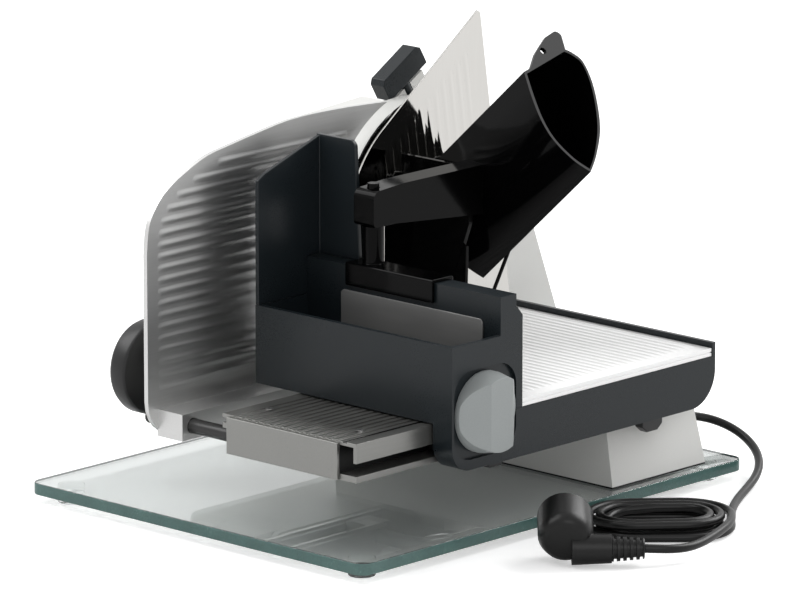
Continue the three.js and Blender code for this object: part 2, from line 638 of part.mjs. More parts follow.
// Worm: a single-start thread on the motor's shaft, turning about a Y-parallel axis under the wheel
function buildDrive() {
  const pitch = Math.PI * GEAR_MODULE;
  const turns = Math.floor(WORM_LENGTH / pitch) - 1;
  const steps = 10;
  const core = WORM_PITCH_RADIUS - GEAR_MODULE * 1.2;
  const crest = WORM_PITCH_RADIUS + GEAR_MODULE * 0.7;
  const start = BLADE_Y - (turns / 2 + 0.25) * pitch;
  const positions = [];
  const indices = [];
  const section = [[core - 1, -0.24], [core - 1, 0.24], [crest, 0.08], [crest, -0.08]];
  const rings = turns * steps + 1;
  for (let i = 0; i < rings; i += 1) {
    const angle = i / steps * Math.PI * 2;
    for (const [radius, share] of section) {
      positions.push(wheelX + radius * Math.cos(angle), start + (i / steps + share) * pitch,
        wormZ - radius * Math.sin(angle));
    }
  }
  for (let i = 0; i < rings - 1; i += 1) {
    for (let k = 0; k < 4; k += 1) {
      const a = i * 4 + k;
      const b = i * 4 + (k + 1) % 4;
      indices.push(a, b, b + 4, a, b + 4, a + 4);
    }
  }
  const last = (rings - 1) * 4;
  indices.push(0, 2, 1, 0, 3, 2, last, last + 1, last + 2, last, last + 2, last + 3);
  const geometry = new THREE.BufferGeometry();
  geometry.setAttribute('position', new THREE.Float32BufferAttribute(positions, 3));
  geometry.setIndex(indices);
  const wormEnd = BLADE_Y + WORM_LENGTH / 2;
  const motorFront = BLADE_Y + wheelRadius + GEAR_MODULE + 5;
  const worm = join(rodY(core, wheelX, wormZ, BLADE_Y - WORM_LENGTH / 2, wormEnd), toSolid(geometry),
    rodY(SHAFT_RADIUS / 2, wheelX, wormZ, wormEnd - 1, motorFront + 10));
  place(machine, 'motor_worm', worm, steel);
  const bore = SHAFT_RADIUS / 2 + RUN / 2;
  const can = cut(rodY(MOTOR_RADIUS, wheelX, wormZ, motorFront, motorFront + MOTOR_LENGTH, 32),
    rodY(bore, wheelX, wormZ, motorFront - 1, motorFront + 11));
  place(machine, 'motor', can, steel);
  const plate = prismY(outline([[HOUSING_BACK + HOUSING_WALL + SEAT, wormZ - MOTOR_RADIUS],
    [frameBack - SEAT, wormZ - MOTOR_RADIUS], [frameBack - SEAT, wormZ + MOTOR_RADIUS],
    [HOUSING_BACK + HOUSING_WALL + SEAT, wormZ + MOTOR_RADIUS]]), motorFront - 3, motorFront - SEAT);
  place(machine, 'motor_bracket', cut(plate, rodY(bore, wheelX, wormZ, wormEnd, motorFront + 1)), steel);
}

// Crown of the stop plate as [run from the front edge, drop from the top], from the blade to the front
const STOP_CROWN = [[187, 0.2], [138.5, 0], [102.4, 4.6], [79, 8.3], [54.6, 12.8], [31.4, 22.5], [21, 28.4],
  [12.8, 34.8], [4.6, 45.5], [1.3, 56], [0, 70]];

// Outline of the stop plate, drawn in (Y, Z), with the concave edge that clears the blade
function stopOutline(inset) {
  const clear = BLADE_RADIUS + STOP_BLADE_GAP + inset;
  const front = STOP_FRONT + inset;
  const bottom = STOP_BOTTOM + inset;
  const right = STOP_RIGHT - inset;
  const corner = STOP_CORNER - inset;
  const topRight = BLADE_Y - 31 - inset;
  const rise = Math.sqrt(clear * clear - (BLADE_Y - topRight) ** 2);
  const drop = Math.sqrt(clear * clear - (BLADE_Y - right) ** 2);
  const heart = new THREE.Vector2(STOP_FRONT + 115, STOP_TOP - 100);
  const crown = STOP_CROWN.map(([run, fall]) => {
    const point = new THREE.Vector2(STOP_FRONT + run, STOP_TOP - fall);
    return point.addScaledVector(heart.clone().sub(point).normalize(), inset);
  });
  crown.at(-1).x = front;
  const shape = new THREE.Shape();
  shape.moveTo(front + corner, bottom);
  shape.lineTo(right, bottom);
  shape.lineTo(right, BLADE_Z - drop);
  shape.lineTo(topRight, BLADE_Z + rise);
  shape.splineThru(crown);
  shape.lineTo(front, bottom + corner);
  shape.absarc(front + corner, bottom + corner, corner, Math.PI, Math.PI * 1.5, false);
  return { shape, clear };
}

// Stop plate with lengthwise ribs, the ledge along its foot and the nut of its adjuster
function buildStopPlate() {
  const edge = stopOutline(0);
  const field = stopOutline(9);
  const bladeRoom = (radius) => rodX(radius, stopBack - 40, STOP_FACE + 60, BLADE_Y, BLADE_Z, 96);
  const plate = cut(prismX(edge.shape, stopBack, STOP_FACE, 3), bladeRoom(edge.clear));
  const inner = cut(prismX(field.shape, STOP_FACE - 0.5, STOP_FACE + STOP_RIB_HEIGHT + 1, 2),
    bladeRoom(field.clear));
  const ribWidth = 4.4;
  const section = new THREE.Shape();
  section.moveTo(STOP_FACE - 0.4, -ribWidth / 2);
  section.lineTo(STOP_FACE, -ribWidth / 2);
  section.quadraticCurveTo(STOP_FACE + STOP_RIB_HEIGHT * 2, 0, STOP_FACE, ribWidth / 2);
  section.lineTo(STOP_FACE - 0.4, ribWidth / 2);
  let ribs = null;
  for (let z = STOP_RIB_LOW; z < STOP_TOP - 14; z += STOP_RIB_PITCH) {
    const rib = prismY(section, STOP_FRONT, BLADE_Y, 3).translate([0, 0, z]);
    ribs = ribs === null ? rib : ribs.add(rib);
  }
  const ledgeEnd = 10;
  const ledgeTop = ROD_Z + 9;
  const ledgeWall = 3;
  const ledge = cut(
    box(STOP_FACE - 1, STOP_FACE + STOP_LEDGE, ROD_FRONT_Y - ledgeEnd, ROD_REAR_Y + ledgeEnd, STOP_BOTTOM + 1,
      ledgeTop),
    box(STOP_FACE, STOP_FACE + STOP_LEDGE - ledgeWall, ROD_FRONT_Y + ledgeEnd, ROD_REAR_Y - ledgeEnd, 0,
      ledgeTop - ledgeWall),
  );
  const rodHole = (y) => rodX(ROD_RADIUS + RUN, stopBack - 40, STOP_FACE + 60, y, ROD_Z);
  const solid = cut(join(plate, ribs.intersect(inner), ledge), rodHole(ROD_FRONT_Y), rodHole(ROD_REAR_Y));
  place(machine, 'stop_plate', solid, aluminium);
  const nut = cut(rodX(NUT_RADIUS, stopBack - SEAT - NUT_LENGTH, stopBack - SEAT, ADJUST_Y, ADJUST_Z),
    rodX(SPINDLE_RADIUS + RUN, stopBack - NUT_LENGTH - 2, stopBack + 1, ADJUST_Y, ADJUST_Z));
  place(machine, 'adjuster_nut', nut, gearNylon);
  const rodEnd = BED_LEFT - SEAT;
  place(machine, 'guide_rod_front', rodX(ROD_RADIUS, FRAME_FRONT + SEAT, rodEnd, ROD_FRONT_Y, ROD_Z), steel);
  place(machine, 'guide_rod_rear', rodX(ROD_RADIUS, FRAME_FRONT + SEAT, rodEnd, ROD_REAR_Y, ROD_Z), steel);
}

// Thickness knob with a rounded rim, and its spindle through the housing arm
function buildAdjuster() {
  const front = ARM_BACK - RUN;
  const back = front - KNOB_DEPTH;
  const profile = [
    [back, 0], [back, KNOB_RADIUS - 5], [back + 1.4, KNOB_RADIUS - 1.6], [back + 4.5, KNOB_RADIUS],
    [front - 2, KNOB_RADIUS], [front, KNOB_RADIUS - 1.4], [front, 0],
  ];
  const body = turnedX(profile, ADJUST_Y, ADJUST_Z, 64);
  const socket = rodX(SPINDLE_RADIUS + SEAT, front - 10, front + 1, ADJUST_Y, ADJUST_Z);
  place(machine, 'thickness_knob', cut(body, socket), blackPlastic);
  const spindleEnd = FRAME_FRONT - SEAT;
  const spindle = rodX(SPINDLE_RADIUS, front - 10 + SEAT, spindleEnd, ADJUST_Y, ADJUST_Z);
  place(machine, 'adjuster_spindle', spindle, steel);
}

// Carriage: hand box, far wall, deck, skirt and far rail in one moulding
function buildCarriage() {
  const wall = CARRIAGE_WALL;
  const right = carriageRight;
  const hand = cut(
    box(BOX_LEFT, right, CARRIAGE_FRONT, farWallBack, deckBottom, BOX_TOP),
    box(BOX_LEFT + GUARD_WALL, right - wall, CARRIAGE_FRONT + wall, farWallFront, deckBottom + wall,
      BOX_TOP + 1),
  );
  const farWall = box(BOX_LEFT, right, farWallFront, farWallBack, deckBottom, FAR_WALL_TOP);
  const farHollow = box(BOX_LEFT + GUARD_WIDTH, right - wall, farWallFront + GUARD_WALL,
    farWallBack - GUARD_WALL, deckBottom - 11, FAR_WALL_TOP - wall);
  const cheek = prismX(outline([
    [farWallBack - 4, floorBottom], [cheekBack, floorBottom], [cheekBack, FAR_WALL_TOP - 15],
    [farWallBack + 1, FAR_WALL_TOP - 9], [farWallBack - 4, FAR_WALL_TOP - 9],
  ]), right - wall, right);
  const skirtTop = floorBottom - SEAT;
  const skirtSide = outline([
    [CARRIAGE_FRONT, SKIRT_BOTTOM, 17], [CARRIAGE_BACK, SKIRT_BOTTOM, 24], [CARRIAGE_BACK, skirtTop],
    [CARRIAGE_FRONT, skirtTop],
  ]);
  const skirt = prismX(skirtSide, right - wall, right);
  const nearSide = box(bedRight + 2, right, CARRIAGE_FRONT, farWallBack, deckBottom - 10, deckBottom + 1);
  const nearEnd = prismX(skirtSide, bedRight + 2, right)
    .intersect(box(0, right, CARRIAGE_FRONT - 1, CARRIAGE_FRONT + 9, 0, deckBottom + 1));
  const deck = box(CARRIAGE_LEFT, right - 1, farWallBack - 1, CARRIAGE_BACK, deckBottom, skirtTop);
  const rail = box(CARRIAGE_LEFT, right, CARRIAGE_BACK - GUARD_WALL, CARRIAGE_BACK, deckBottom, RAIL_TOP);
  const seatHalf = LOCK_RADIUS + 2.5;
  const lockSeat = prismX(outline([
    [LOCK_Y - seatHalf, LOCK_Z - seatHalf, 16], [LOCK_Y + seatHalf, LOCK_Z - seatHalf, 16],
    [LOCK_Y + seatHalf, LOCK_Z + seatHalf, 16], [LOCK_Y - seatHalf, LOCK_Z + seatHalf, 16],
  ]), right - LOCK_RECESS, right + 1);
  const lockBore = rodX(5 + RUN, right - wall - 20, right + 1, LOCK_Y, LOCK_Z);
  const moulding = join(hand, farWall, cheek, skirt, nearSide, nearEnd, deck, rail);
  place(machine, 'carriage', cut(moulding, farHollow, lockSeat, lockBore), darkPlastic);
  buildGuard();
  buildFloor();
  buildRunners();
}

// Hand guard: an angle of two tall walls that stands in the near corner by the blade
function buildGuard() {
  const crease = farWallBack;
  const low = BOX_TOP + SEAT;
  const wing = prismX(outline([
    [CARRIAGE_FRONT, low], [crease, low], [crease, GUARD_TOP], [CARRIAGE_FRONT + 7, GUARD_TOP - 18.5, 3],
    [CARRIAGE_FRONT, GUARD_TOP - 22.5],
  ]), BOX_LEFT, BOX_LEFT + GUARD_WALL);
  const face = prismY(outline([
    [BOX_LEFT, FAR_WALL_TOP + SEAT], [BOX_LEFT + GUARD_WIDTH + 3, FAR_WALL_TOP + SEAT],
    [BOX_LEFT + GUARD_WIDTH - 1, GUARD_TOP, 5], [BOX_LEFT, GUARD_TOP],
  ]), crease - GUARD_WALL, crease);
  const room = box(BOX_LEFT - 1, BOX_LEFT + GUARD_WIDTH + 10, farWallFront - SEAT, crease + 1, 0,
    FAR_WALL_TOP + SEAT);
  place(machine, 'hand_guard', cut(join(wing, face), room), darkPlastic);
}

// Floor plate: a ribbed aluminium deck with ribs across the travel and a plain grooved edge on the right
function buildFloor() {
  const back = CARRIAGE_BACK - GUARD_WALL - SEAT;
  const front = cheekBack + SEAT;
  const edge = carriageRight - 0.6;
  const top = FLOOR_TOP - 0.8;
  const land = FLOOR_RIB_PITCH * 0.3;
  const section = new THREE.Shape();
  section.moveTo(front + 1, floorBottom + 1);
  section.lineTo(back - 1, floorBottom + 1);
  section.lineTo(back - 1, top);
  for (let y = back - FLOOR_RIB_PITCH; y > front + FLOOR_RIB_PITCH; y -= FLOOR_RIB_PITCH) {
    section.lineTo(y + land, top);
    section.quadraticCurveTo(y, top + 1.6, y - land, top);
  }
  section.lineTo(front + 1, top);
  const ribbed = prismX(section, CARRIAGE_LEFT + 1, edge - FLOOR_BORDER, 3);
  const grooveZ = (floorBottom + top) / 2;
  const groove = box(edge - 0.8, edge + 1, front - 1, back + 1, grooveZ - 0.5, grooveZ + 0.5);
  const plate = cut(box(CARRIAGE_LEFT, edge, front, back, floorBottom, top), groove);
  place(machine, 'carriage_floor', join(plate, ribbed), aluminium);
  const panelLow = deckBottom + CARRIAGE_WALL + 6;
  const panel = prismY(outline([[PANEL_LEFT, panelLow], [PANEL_RIGHT, panelLow], [PANEL_RIGHT, PANEL_TOP, 3],
    [PANEL_LEFT, PANEL_TOP, 3]]), farWallFront - SEAT - 1.2, farWallFront - SEAT);
  place(machine, 'pusher_panel', panel, aluminium);
}

// Runner that hooks into the bed's channel, and the glides under the skirt
function buildRunners() {
  const inset = 12;
  const tongue = CHANNEL_SLOT - 2 * RUN;
  const low = slotBottom + RUN;
  const inside = carriageRight - CARRIAGE_WALL - SEAT;
  const shoe = box(bedRight - CHANNEL_DEPTH + 2, inside, CARRIAGE_FRONT + inset, CARRIAGE_BACK - SHOE_BACK, low,
    low + tongue);
  place(machine, 'runner_shoe', shoe, blackPlastic);
  const glide = (y, drop) => {
    const low = SKIRT_BOTTOM - drop;
    const high = SKIRT_BOTTOM + 7;
    return prismX(outline([[y + 5, low], [y + GLIDE_LENGTH - 5, low], [y + GLIDE_LENGTH, low + 4],
      [y + GLIDE_LENGTH, high], [y, high], [y, low + 4]]), inside - 7, inside);
  };
  place(machine, 'glide_front', glide(CARRIAGE_FRONT + GLIDE_FRONT, 4), blackPlastic);
  place(machine, 'glide_rear', glide(CARRIAGE_BACK - GLIDE_REAR, GLIDE_DROP), blackPlastic);
}

// Lock knob: a round base with a raised bar whose flanks slope out to the rim
function buildLockKnob() {
  const base = carriageRight - LOCK_RECESS + RUN;
  const gripTop = base + LOCK_BASE + LOCK_GRIP;
  const plate = rodX(LOCK_RADIUS, base, base + LOCK_BASE, LOCK_Y, LOCK_Z, 48);
  const half = LOCK_GRIP_WIDTH / 2;
  const wedge = prismZ(outline([
    [base + LOCK_BASE - 1, LOCK_Y - LOCK_RADIUS], [base + LOCK_BASE - 1, LOCK_Y + LOCK_RADIUS],
    [gripTop, LOCK_Y + half, 1.5], [gripTop, LOCK_Y - half, 1.5],
  ].reverse()), LOCK_Z - LOCK_RADIUS, LOCK_Z + LOCK_RADIUS, 4);
  const round = turnedX([[base, 0], [base, LOCK_RADIUS], [base + LOCK_BASE, LOCK_RADIUS],
    [gripTop, LOCK_RADIUS - 2.5], [gripTop, 0]], LOCK_Y, LOCK_Z, 48);
  const stem = rodX(5, base - CARRIAGE_WALL - 8, base + 1, LOCK_Y, LOCK_Z);
  place(machine, 'lock_knob', join(plate, wedge.intersect(round), stem), knobGrey);
}

// A straight round strut between two points
function strut(radius, from, to, segments = 10) {
  const start = new THREE.Vector3(...from);
  const run = new THREE.Vector3(...to).sub(start);
  const turn = new THREE.Quaternion().setFromUnitVectors(new THREE.Vector3(0, 1, 0), run.clone().normalize());
  const geometry = new THREE.CylinderGeometry(radius, radius, run.length(), segments);
  const middle = start.addScaledVector(run, 0.5);
  return toSolid(geometry.applyQuaternion(turn).translate(middle.x, middle.y, middle.z));
}

// Two sides of the chute's section as shares of its width and height, from the seam round to the top
const CHUTE_NEAR = [[-0.2, 0.357], [-0.3, 0.144], [-0.358, -0.054], [-0.349, -0.225], [-0.252, -0.4],
  [-0.121, -0.518]];
const CHUTE_FAR = [[0.09, -0.398], [0.361, -0.189], [0.582, 0.11], [0.649, 0.324], [0.588, 0.415],
  [0.501, 0.467]];

function chuteOutline(shrink) {
  const heart = new THREE.Vector2(0.16 * CHUTE_WIDTH, 0.04 * CHUTE_HEIGHT);
  const scaled = (shares) => shares.map(([u, v]) => {
    const point = new THREE.Vector2(u * CHUTE_WIDTH, v * CHUTE_HEIGHT);
    return point.addScaledVector(heart.clone().sub(point).normalize(), shrink);
  });
  const near = scaled(CHUTE_NEAR);
  const shape = new THREE.Shape();
  shape.moveTo(near[0].x, near[0].y);
  shape.splineThru(near.slice(1));
  shape.splineThru(scaled(CHUTE_FAR));
  shape.closePath();
  return shape;
}

// Feed chute: a slanted open tube carried by an arm that swings on a pin, over a tray clipped on the far wall
function buildChute() {
  const along = (shape, low, high) => {
    const lying = prismX(shape, low, high, 4);
    return lying.rotate([0, -CHUTE_TILT, 0]).translate([CHUTE_MOUTH_X, CHUTE_Y, CHUTE_MOUTH_Z]);
  };
  const tube = along(chuteOutline(0), CHUTE_START, CHUTE_LENGTH);
  const bore = along(chuteOutline(CHUTE_WALL), -60, CHUTE_LENGTH + 10);
  const armLow = FAR_WALL_TOP + ARM_RISE;
  const near = CHUTE_Y - 0.35 * CHUTE_WIDTH;
  const arm = prismX(outline([[PIVOT_Y - 9, armLow, 3], [PIVOT_Y + 12, armLow], [near + 6, armLow - 8],
    [near + 6, armLow + 26], [PIVOT_Y + 20, armLow + 26], [PIVOT_Y - 9, armLow + 24, 6]]),
  PIVOT_X - 9, PIVOT_X + 9);
  const hole = rodZ(PIVOT_RADIUS + RUN, PIVOT_X, PIVOT_Y, armLow - 5, armLow + 40);
  const guide = box(BLADE_PLANE + 12, PIVOT_X + 6, near - 2, near + 1.2, armLow - 8, armLow + 23);
  const apronLow = CHUTE_MOUTH_Z - APRON_DROP;
  const apronLeft = CHUTE_MOUTH_X - 21;
  const apronRight = CHUTE_MOUTH_X + 41;
  const apronBack = CHUTE_Y - CHUTE_WIDTH / 2 + 1;
  const apron = prismY(outline([[apronLeft, apronLow + 1, 3], [apronRight, apronLow - 2, 3],
    [PIVOT_X + 8, armLow - 12, 6], [PIVOT_X + 8, armLow + 4], [PIVOT_X - 8, armLow + 4],
    [apronLeft, apronLow + 21, 8]]), apronBack - 3.4, apronBack, 4);
  const lip = (u, v) => [u * CHUTE_WIDTH, v * CHUTE_HEIGHT];
  const tab = along(outline([
    lip(-0.12, 0.35), lip(0.501, 0.43), [...lip(0.575, 0.575), 2], [...lip(0.55, 0.625), 4], lip(0.345, 0.586),
    lip(0.103, 0.485),
  ]), CHUTE_LENGTH - 3, CHUTE_LENGTH);
  const tabHole = along(disc(...lip(0.215, 0.486), 2.6), CHUTE_LENGTH - 8, CHUTE_LENGTH + 8);
  const legTop = [CHUTE_MOUTH_X + 59, CHUTE_Y, CHUTE_MOUTH_Z - 3];
  const leg = strut(LEG_RADIUS, legTop, [CHUTE_MOUTH_X + 29, CHUTE_Y, FLOOR_TOP + 1.5]);
  const solid = cut(join(tube, arm, guide, apron, tab, leg), bore, hole, tabHole);
  place(machine, 'feed_chute', solid, blackPlastic);
  const flap = FAR_WALL_TOP - 13;
  const saddle = prismX(outline([
    [farWallFront - RUN - TRAY_SHEET, flap], [farWallFront - RUN, flap],
    [farWallFront - RUN, FAR_WALL_TOP + SEAT],
    [farWallBack + RUN, FAR_WALL_TOP + SEAT], [farWallBack + RUN, flap], [farWallBack + RUN + TRAY_SHEET, flap],
    [farWallBack + RUN + TRAY_SHEET, FAR_WALL_TOP + SEAT + TRAY_SHEET, 1.5],
    [farWallFront - RUN - TRAY_SHEET, FAR_WALL_TOP + SEAT + TRAY_SHEET, 1.5],
  ]), TRAY_LEFT, TRAY_RIGHT);
  const post = rodZ(7, PIVOT_X, PIVOT_Y, FAR_WALL_TOP + 1, armLow - RUN);
  const pin = rodZ(PIVOT_RADIUS, PIVOT_X, PIVOT_Y, FAR_WALL_TOP + 1, armLow + 28);
  place(machine, 'chute_saddle', join(saddle, post, pin), blackPlastic);
}

// Points of a route drawn nearer to the mean of their neighbours, which evens out the bends
function eased(points, passes) {
  let now = points.map((p) => new THREE.Vector3(...p));
  for (let pass = 0; pass < passes; pass += 1) {
    const before = now;
    now = before.map((p, i) => {
      if (i === 0 || i === before.length - 1) {
        return p;
      }
      return p.clone().multiplyScalar(4).add(before[i - 1]).add(before[i + 1]).divideScalar(6);
    });
  }
  return now;
}

// Cord tube along hand-chosen points
function cordTube(points, sides, stepsPerPoint) {
  const path = new THREE.CatmullRomCurve3(eased(points, 3), false, 'centripetal');
  const ring = new THREE.Shape();
  for (let k = 0; k < sides; k += 1) {
    const angle = k / sides * Math.PI * 2;
    const u = CORD_RADIUS * Math.cos(angle);
    const v = CORD_RADIUS * Math.sin(angle);
    if (k === 0) {
      ring.moveTo(u, v);
    } else {
      ring.lineTo(u, v);
    }
  }
  const steps = (points.length - 1) * stepsPerPoint;
  return toSolid(new THREE.ExtrudeGeometry(ring, { extrudePath: path, steps, bevelEnabled: false }));
}

// Hank: one unbroken stadium spiral, wound clockwise in on the table, up, and out again on top
function hankPoint(t) {
  const inward = Math.min(t, 2);
  const outward = Math.max(t - 2.5, 0);
  const radius = HANK_INNER + HANK_STEP * (2 - inward + outward);
  const climb = THREE.MathUtils.clamp((t - 2) / 0.5, 0, 1);
  const z = CORD_RADIUS + HANK_LAYER * climb;
  const run = HANK_STRAIGHT * 2;
  const whole = 2 * run + 2 * Math.PI * radius;
  let s = (t - Math.floor(t)) * whole + run / 2;
  if (s >= whole) {
    s -= whole;
  }
  const arc = Math.PI * radius;
  if (s < run) {
    return [HANK_STRAIGHT - s, radius, z];
  }
  if (s < run + arc) {
    const angle = Math.PI / 2 + (s - run) / radius;
    return [-HANK_STRAIGHT + radius * Math.cos(angle), radius * Math.sin(angle), z];
  }
  if (s < 2 * run + arc) {
    return [-HANK_STRAIGHT + (s - run - arc), -radius, z];
  }
  const angle = -Math.PI / 2 + (s - 2 * run - arc) / radius;
  return [HANK_STRAIGHT + radius * Math.cos(angle), radius * Math.sin(angle), z];
}

function hankPlace(t) {
  const [along, across, z] = hankPoint(t);
  const turn = THREE.MathUtils.degToRad(HANK_TURN);
  const x = HANK_X + along * Math.cos(turn) + across * Math.sin(turn);
  const y = HANK_Y + along * Math.sin(turn) - across * Math.cos(turn);
  return new THREE.Vector3(x, y, z);
}

function buildHank() {
  const stepsPerLoop = 24;
  const sides = 6;
  const count = Math.round((HANK_END - HANK_START) * stepsPerLoop);
  const centres = [];
  for (let i = 0; i <= count; i += 1) {
    centres.push(hankPlace(HANK_START + i / stepsPerLoop));
  }
  const positions = [];
  centres.forEach((centre, i) => {
    const t = HANK_START + i / stepsPerLoop;
    const forward = hankPlace(t + 0.01).sub(hankPlace(t - 0.01)).setZ(0).normalize();
    const sideways = new THREE.Vector3(-forward.y, forward.x, 0);
    for (let k = 0; k < sides; k += 1) {
      const angle = (k + 0.5) / sides * Math.PI * 2;
      const point = centre.clone().addScaledVector(sideways, CORD_RADIUS * Math.cos(angle));
      positions.push(point.x, point.y, point.z + CORD_RADIUS * Math.sin(angle));
    }
  });
  const indices = [];
  for (let i = 0; i < count; i += 1) {
    for (let k = 0; k < sides; k += 1) {
      const a = i * sides + k;
      const b = i * sides + (k + 1) % sides;
      indices.push(a, b, b + sides, a, b + sides, a + sides);
    }
  }
  for (let k = 1; k < sides - 1; k += 1) {
    indices.push(0, k + 1, k);
    const last = count * sides;
    indices.push(last, last + k, last + k + 1);
  }
  const geometry = new THREE.BufferGeometry();
  geometry.setAttribute('position', new THREE.Float32BufferAttribute(positions, 3));
  geometry.setIndex(indices);
  place(cordSet, 'cord_hank', toSolid(geometry), blackRubber);
  printLeastGap(centres, stepsPerLoop);
}

// Least gap of the hank's tube to itself, measured between points at least half a loop apart
function printLeastGap(centres, stepsPerLoop) {
  let least = Infinity;
  centres.forEach((a, i) => {
    centres.slice(i + stepsPerLoop / 2).forEach((b) => {
      least = Math.min(least, a.distanceTo(b) - 2 * CORD_RADIUS);
    });
  });
  console.log(`least gap of the hank to itself: ${least.toFixed(2)} mm`);
}

// Gland, free stretches of the cord, strain relief and angled plug
function buildCord() {
  const back = PEDESTAL_FRONT + PEDESTAL_DEPTH;
  const leanBack = back - PEDESTAL_END_LEAN * (GLAND_Z - CORD_RADIUS - 3.2 - pedestalBottom);
  const glandEnd = leanBack + RUN + GLAND_LENGTH;
  const taper = new THREE.CylinderGeometry(CORD_RADIUS + 1.2, CORD_RADIUS + 3.2, GLAND_LENGTH, 16);
  const gland = toSolid(taper.translate(GLAND_X, leanBack + RUN + GLAND_LENGTH / 2, GLAND_Z));
  place(cordSet, 'cord_gland', gland, blackRubber);
  const start = glandEnd + SEAT + 0.1;
  const turn = THREE.MathUtils.degToRad(HANK_TURN);
  const aside = new THREE.Vector3(Math.sin(turn), -Math.cos(turn), 0);
  const beside = (t, distance) => hankPlace(t).addScaledVector(aside, distance).toArray();
  const route = [
    [0, 0, 0], [0, 8.4, 0], [1.7, 18.4, -0.3], [6.6, 27.2, -1.5], [14.4, 33.8, -3.6], [24, 37.3, -6.4],
    [34.8, 37.6, -9.7], [46, 35.3, -13.4], [56.6, 30.4, -17.1], [66.2, 23, -20.6], [74.4, 13.2, -23.7],
    [81.2, 1.4, -26.2], [87.2, -11.8, -27.9], [93.4, -25.4, -28.7], [100.4, -39.4, -29], [109, -54.4, -29],
    [119.4, -69.2, -29], [130.8, -83, -29.1],
  ];
  const lead = route.map(([x, y, z]) => [GLAND_X + x, start + y, GLAND_Z + z]);
  lead.push(beside(HANK_START, -SEAT - 0.1));
  place(cordSet, 'cord_lead', cordTube(lead, 8, 2), blackRubber);
  const heading = THREE.MathUtils.degToRad(BOOT_HEADING);
  const boot = (distance) => [BOOT_X + distance * Math.cos(heading), BOOT_Y + distance * Math.sin(heading)];
  const bootEnd = boot(BOOT_LENGTH + SEAT + 0.1);
  const tail = [
    beside(HANK_END, SEAT + 0.1), beside(HANK_END, 10.6),
    [246, 63.8, 10], [250.6, 52.5, 9.7], [254.6, 40.5, 9.3], [258.4, 28.5, 8.9],
    [261.8, 17, 8.6], [263.8, 6, 8.7], [263.4, -4.4, 9.2], [260.3, -13, 10],
    [...boot(BOOT_LENGTH + 7.6), BOOT_Z - 0.2], [...bootEnd, BOOT_Z],
  ];
  place(cordSet, 'cord_tail', cordTube(tail, 8, 2), blackRubber);
  buildPlug();
}

// Ribbed strain relief, round plug body with a side neck, and two pins at its far face
function buildPlug() {
  const ribs = 5;
  const profile = [[0, 0], [0, 8.6]];
  for (let i = 0; i < ribs; i += 1) {
    const x = BOOT_LENGTH * (i + 0.5) / ribs;
    const radius = 8.8 - 1.6 * (i + 0.5) / ribs;
    const half = BOOT_LENGTH / ribs * 0.25;
    profile.push([x - half, radius], [x - half, radius - 1.8]);
    profile.push([x + half, radius - 1.9], [x + half, radius - 0.2]);
  }
  profile.push([BOOT_LENGTH, 6.6], [BOOT_LENGTH, 0]);
  const seatBoot = (solid) => solid.rotate([0, 0, BOOT_HEADING]).translate([BOOT_X, BOOT_Y, BOOT_Z]);
  place(cordSet, 'plug_boot', seatBoot(turnedX(profile, 0, 0, 12)), blackRubber);
  const lean = THREE.MathUtils.degToRad(16);
  const away = THREE.MathUtils.radToDeg(Math.atan2(0.729, -0.684));
  const half = PLUG_LENGTH / 2;
  const round = turnedX([[-half, 0], [-half, PLUG_RADIUS - 7], [-half + 3, PLUG_RADIUS - 2.5],
    [-half + 9, PLUG_RADIUS], [half, PLUG_RADIUS], [half, 0]], 0, 0, 32);
  const lift = PLUG_RADIUS * Math.cos(lean) + half * Math.sin(lean);
  const tilt = -THREE.MathUtils.radToDeg(lean);
  const seatPlug = (solid) => solid.rotate([0, tilt, 0]).rotate([0, 0, away])
    .translate([PLUG_X, PLUG_Y, lift]);
  const neckLength = 26;
  const neck = seatBoot(turnedX([[-neckLength, 0], [-neckLength, 10.4], [-SEAT, 9.4], [-SEAT, 0]], 0, 0, 24));
  place(cordSet, 'plug_body', join(seatPlug(round), neck), blackRubber);
  const pinSpacing = 19;
  const pin = (side) => seatPlug(turnedX([[half + SEAT, 0], [half + SEAT, 2.4], [half + 17, 2.4],
    [half + 19, 1.4], [half + 19, 0]], side * pinSpacing / 2, 0, 12));
  place(cordSet, 'plug_pin_1', pin(-1), steel);
  place(cordSet, 'plug_pin_2', pin(1), steel);
}

buildGlass();
buildPedestal();
buildBed();
buildHousing();
buildFrame();
buildCoverPlate();
buildBlade();
buildDrive();
buildStopPlate();
buildAdjuster();
buildCarriage();
buildLockKnob();
buildChute();
buildHank();
buildCord();

// The origin is under the middle of the machine's own box, on the table
const extent = new THREE.Box3().setFromObject(machine);
const middle = extent.getCenter(new THREE.Vector3());
slicer.position.set(-middle.x, -middle.y, 0);
slicer.updateMatrixWorld(true);

export default slicer;
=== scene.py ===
"""Food slicer on a glass base: finishes, edges, ribs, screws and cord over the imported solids."""
import logging
import math
from collections.abc import Callable
from dataclasses import dataclass, field
from enum import Enum

import bmesh
import bpy
from mathutils import Matrix, Vector


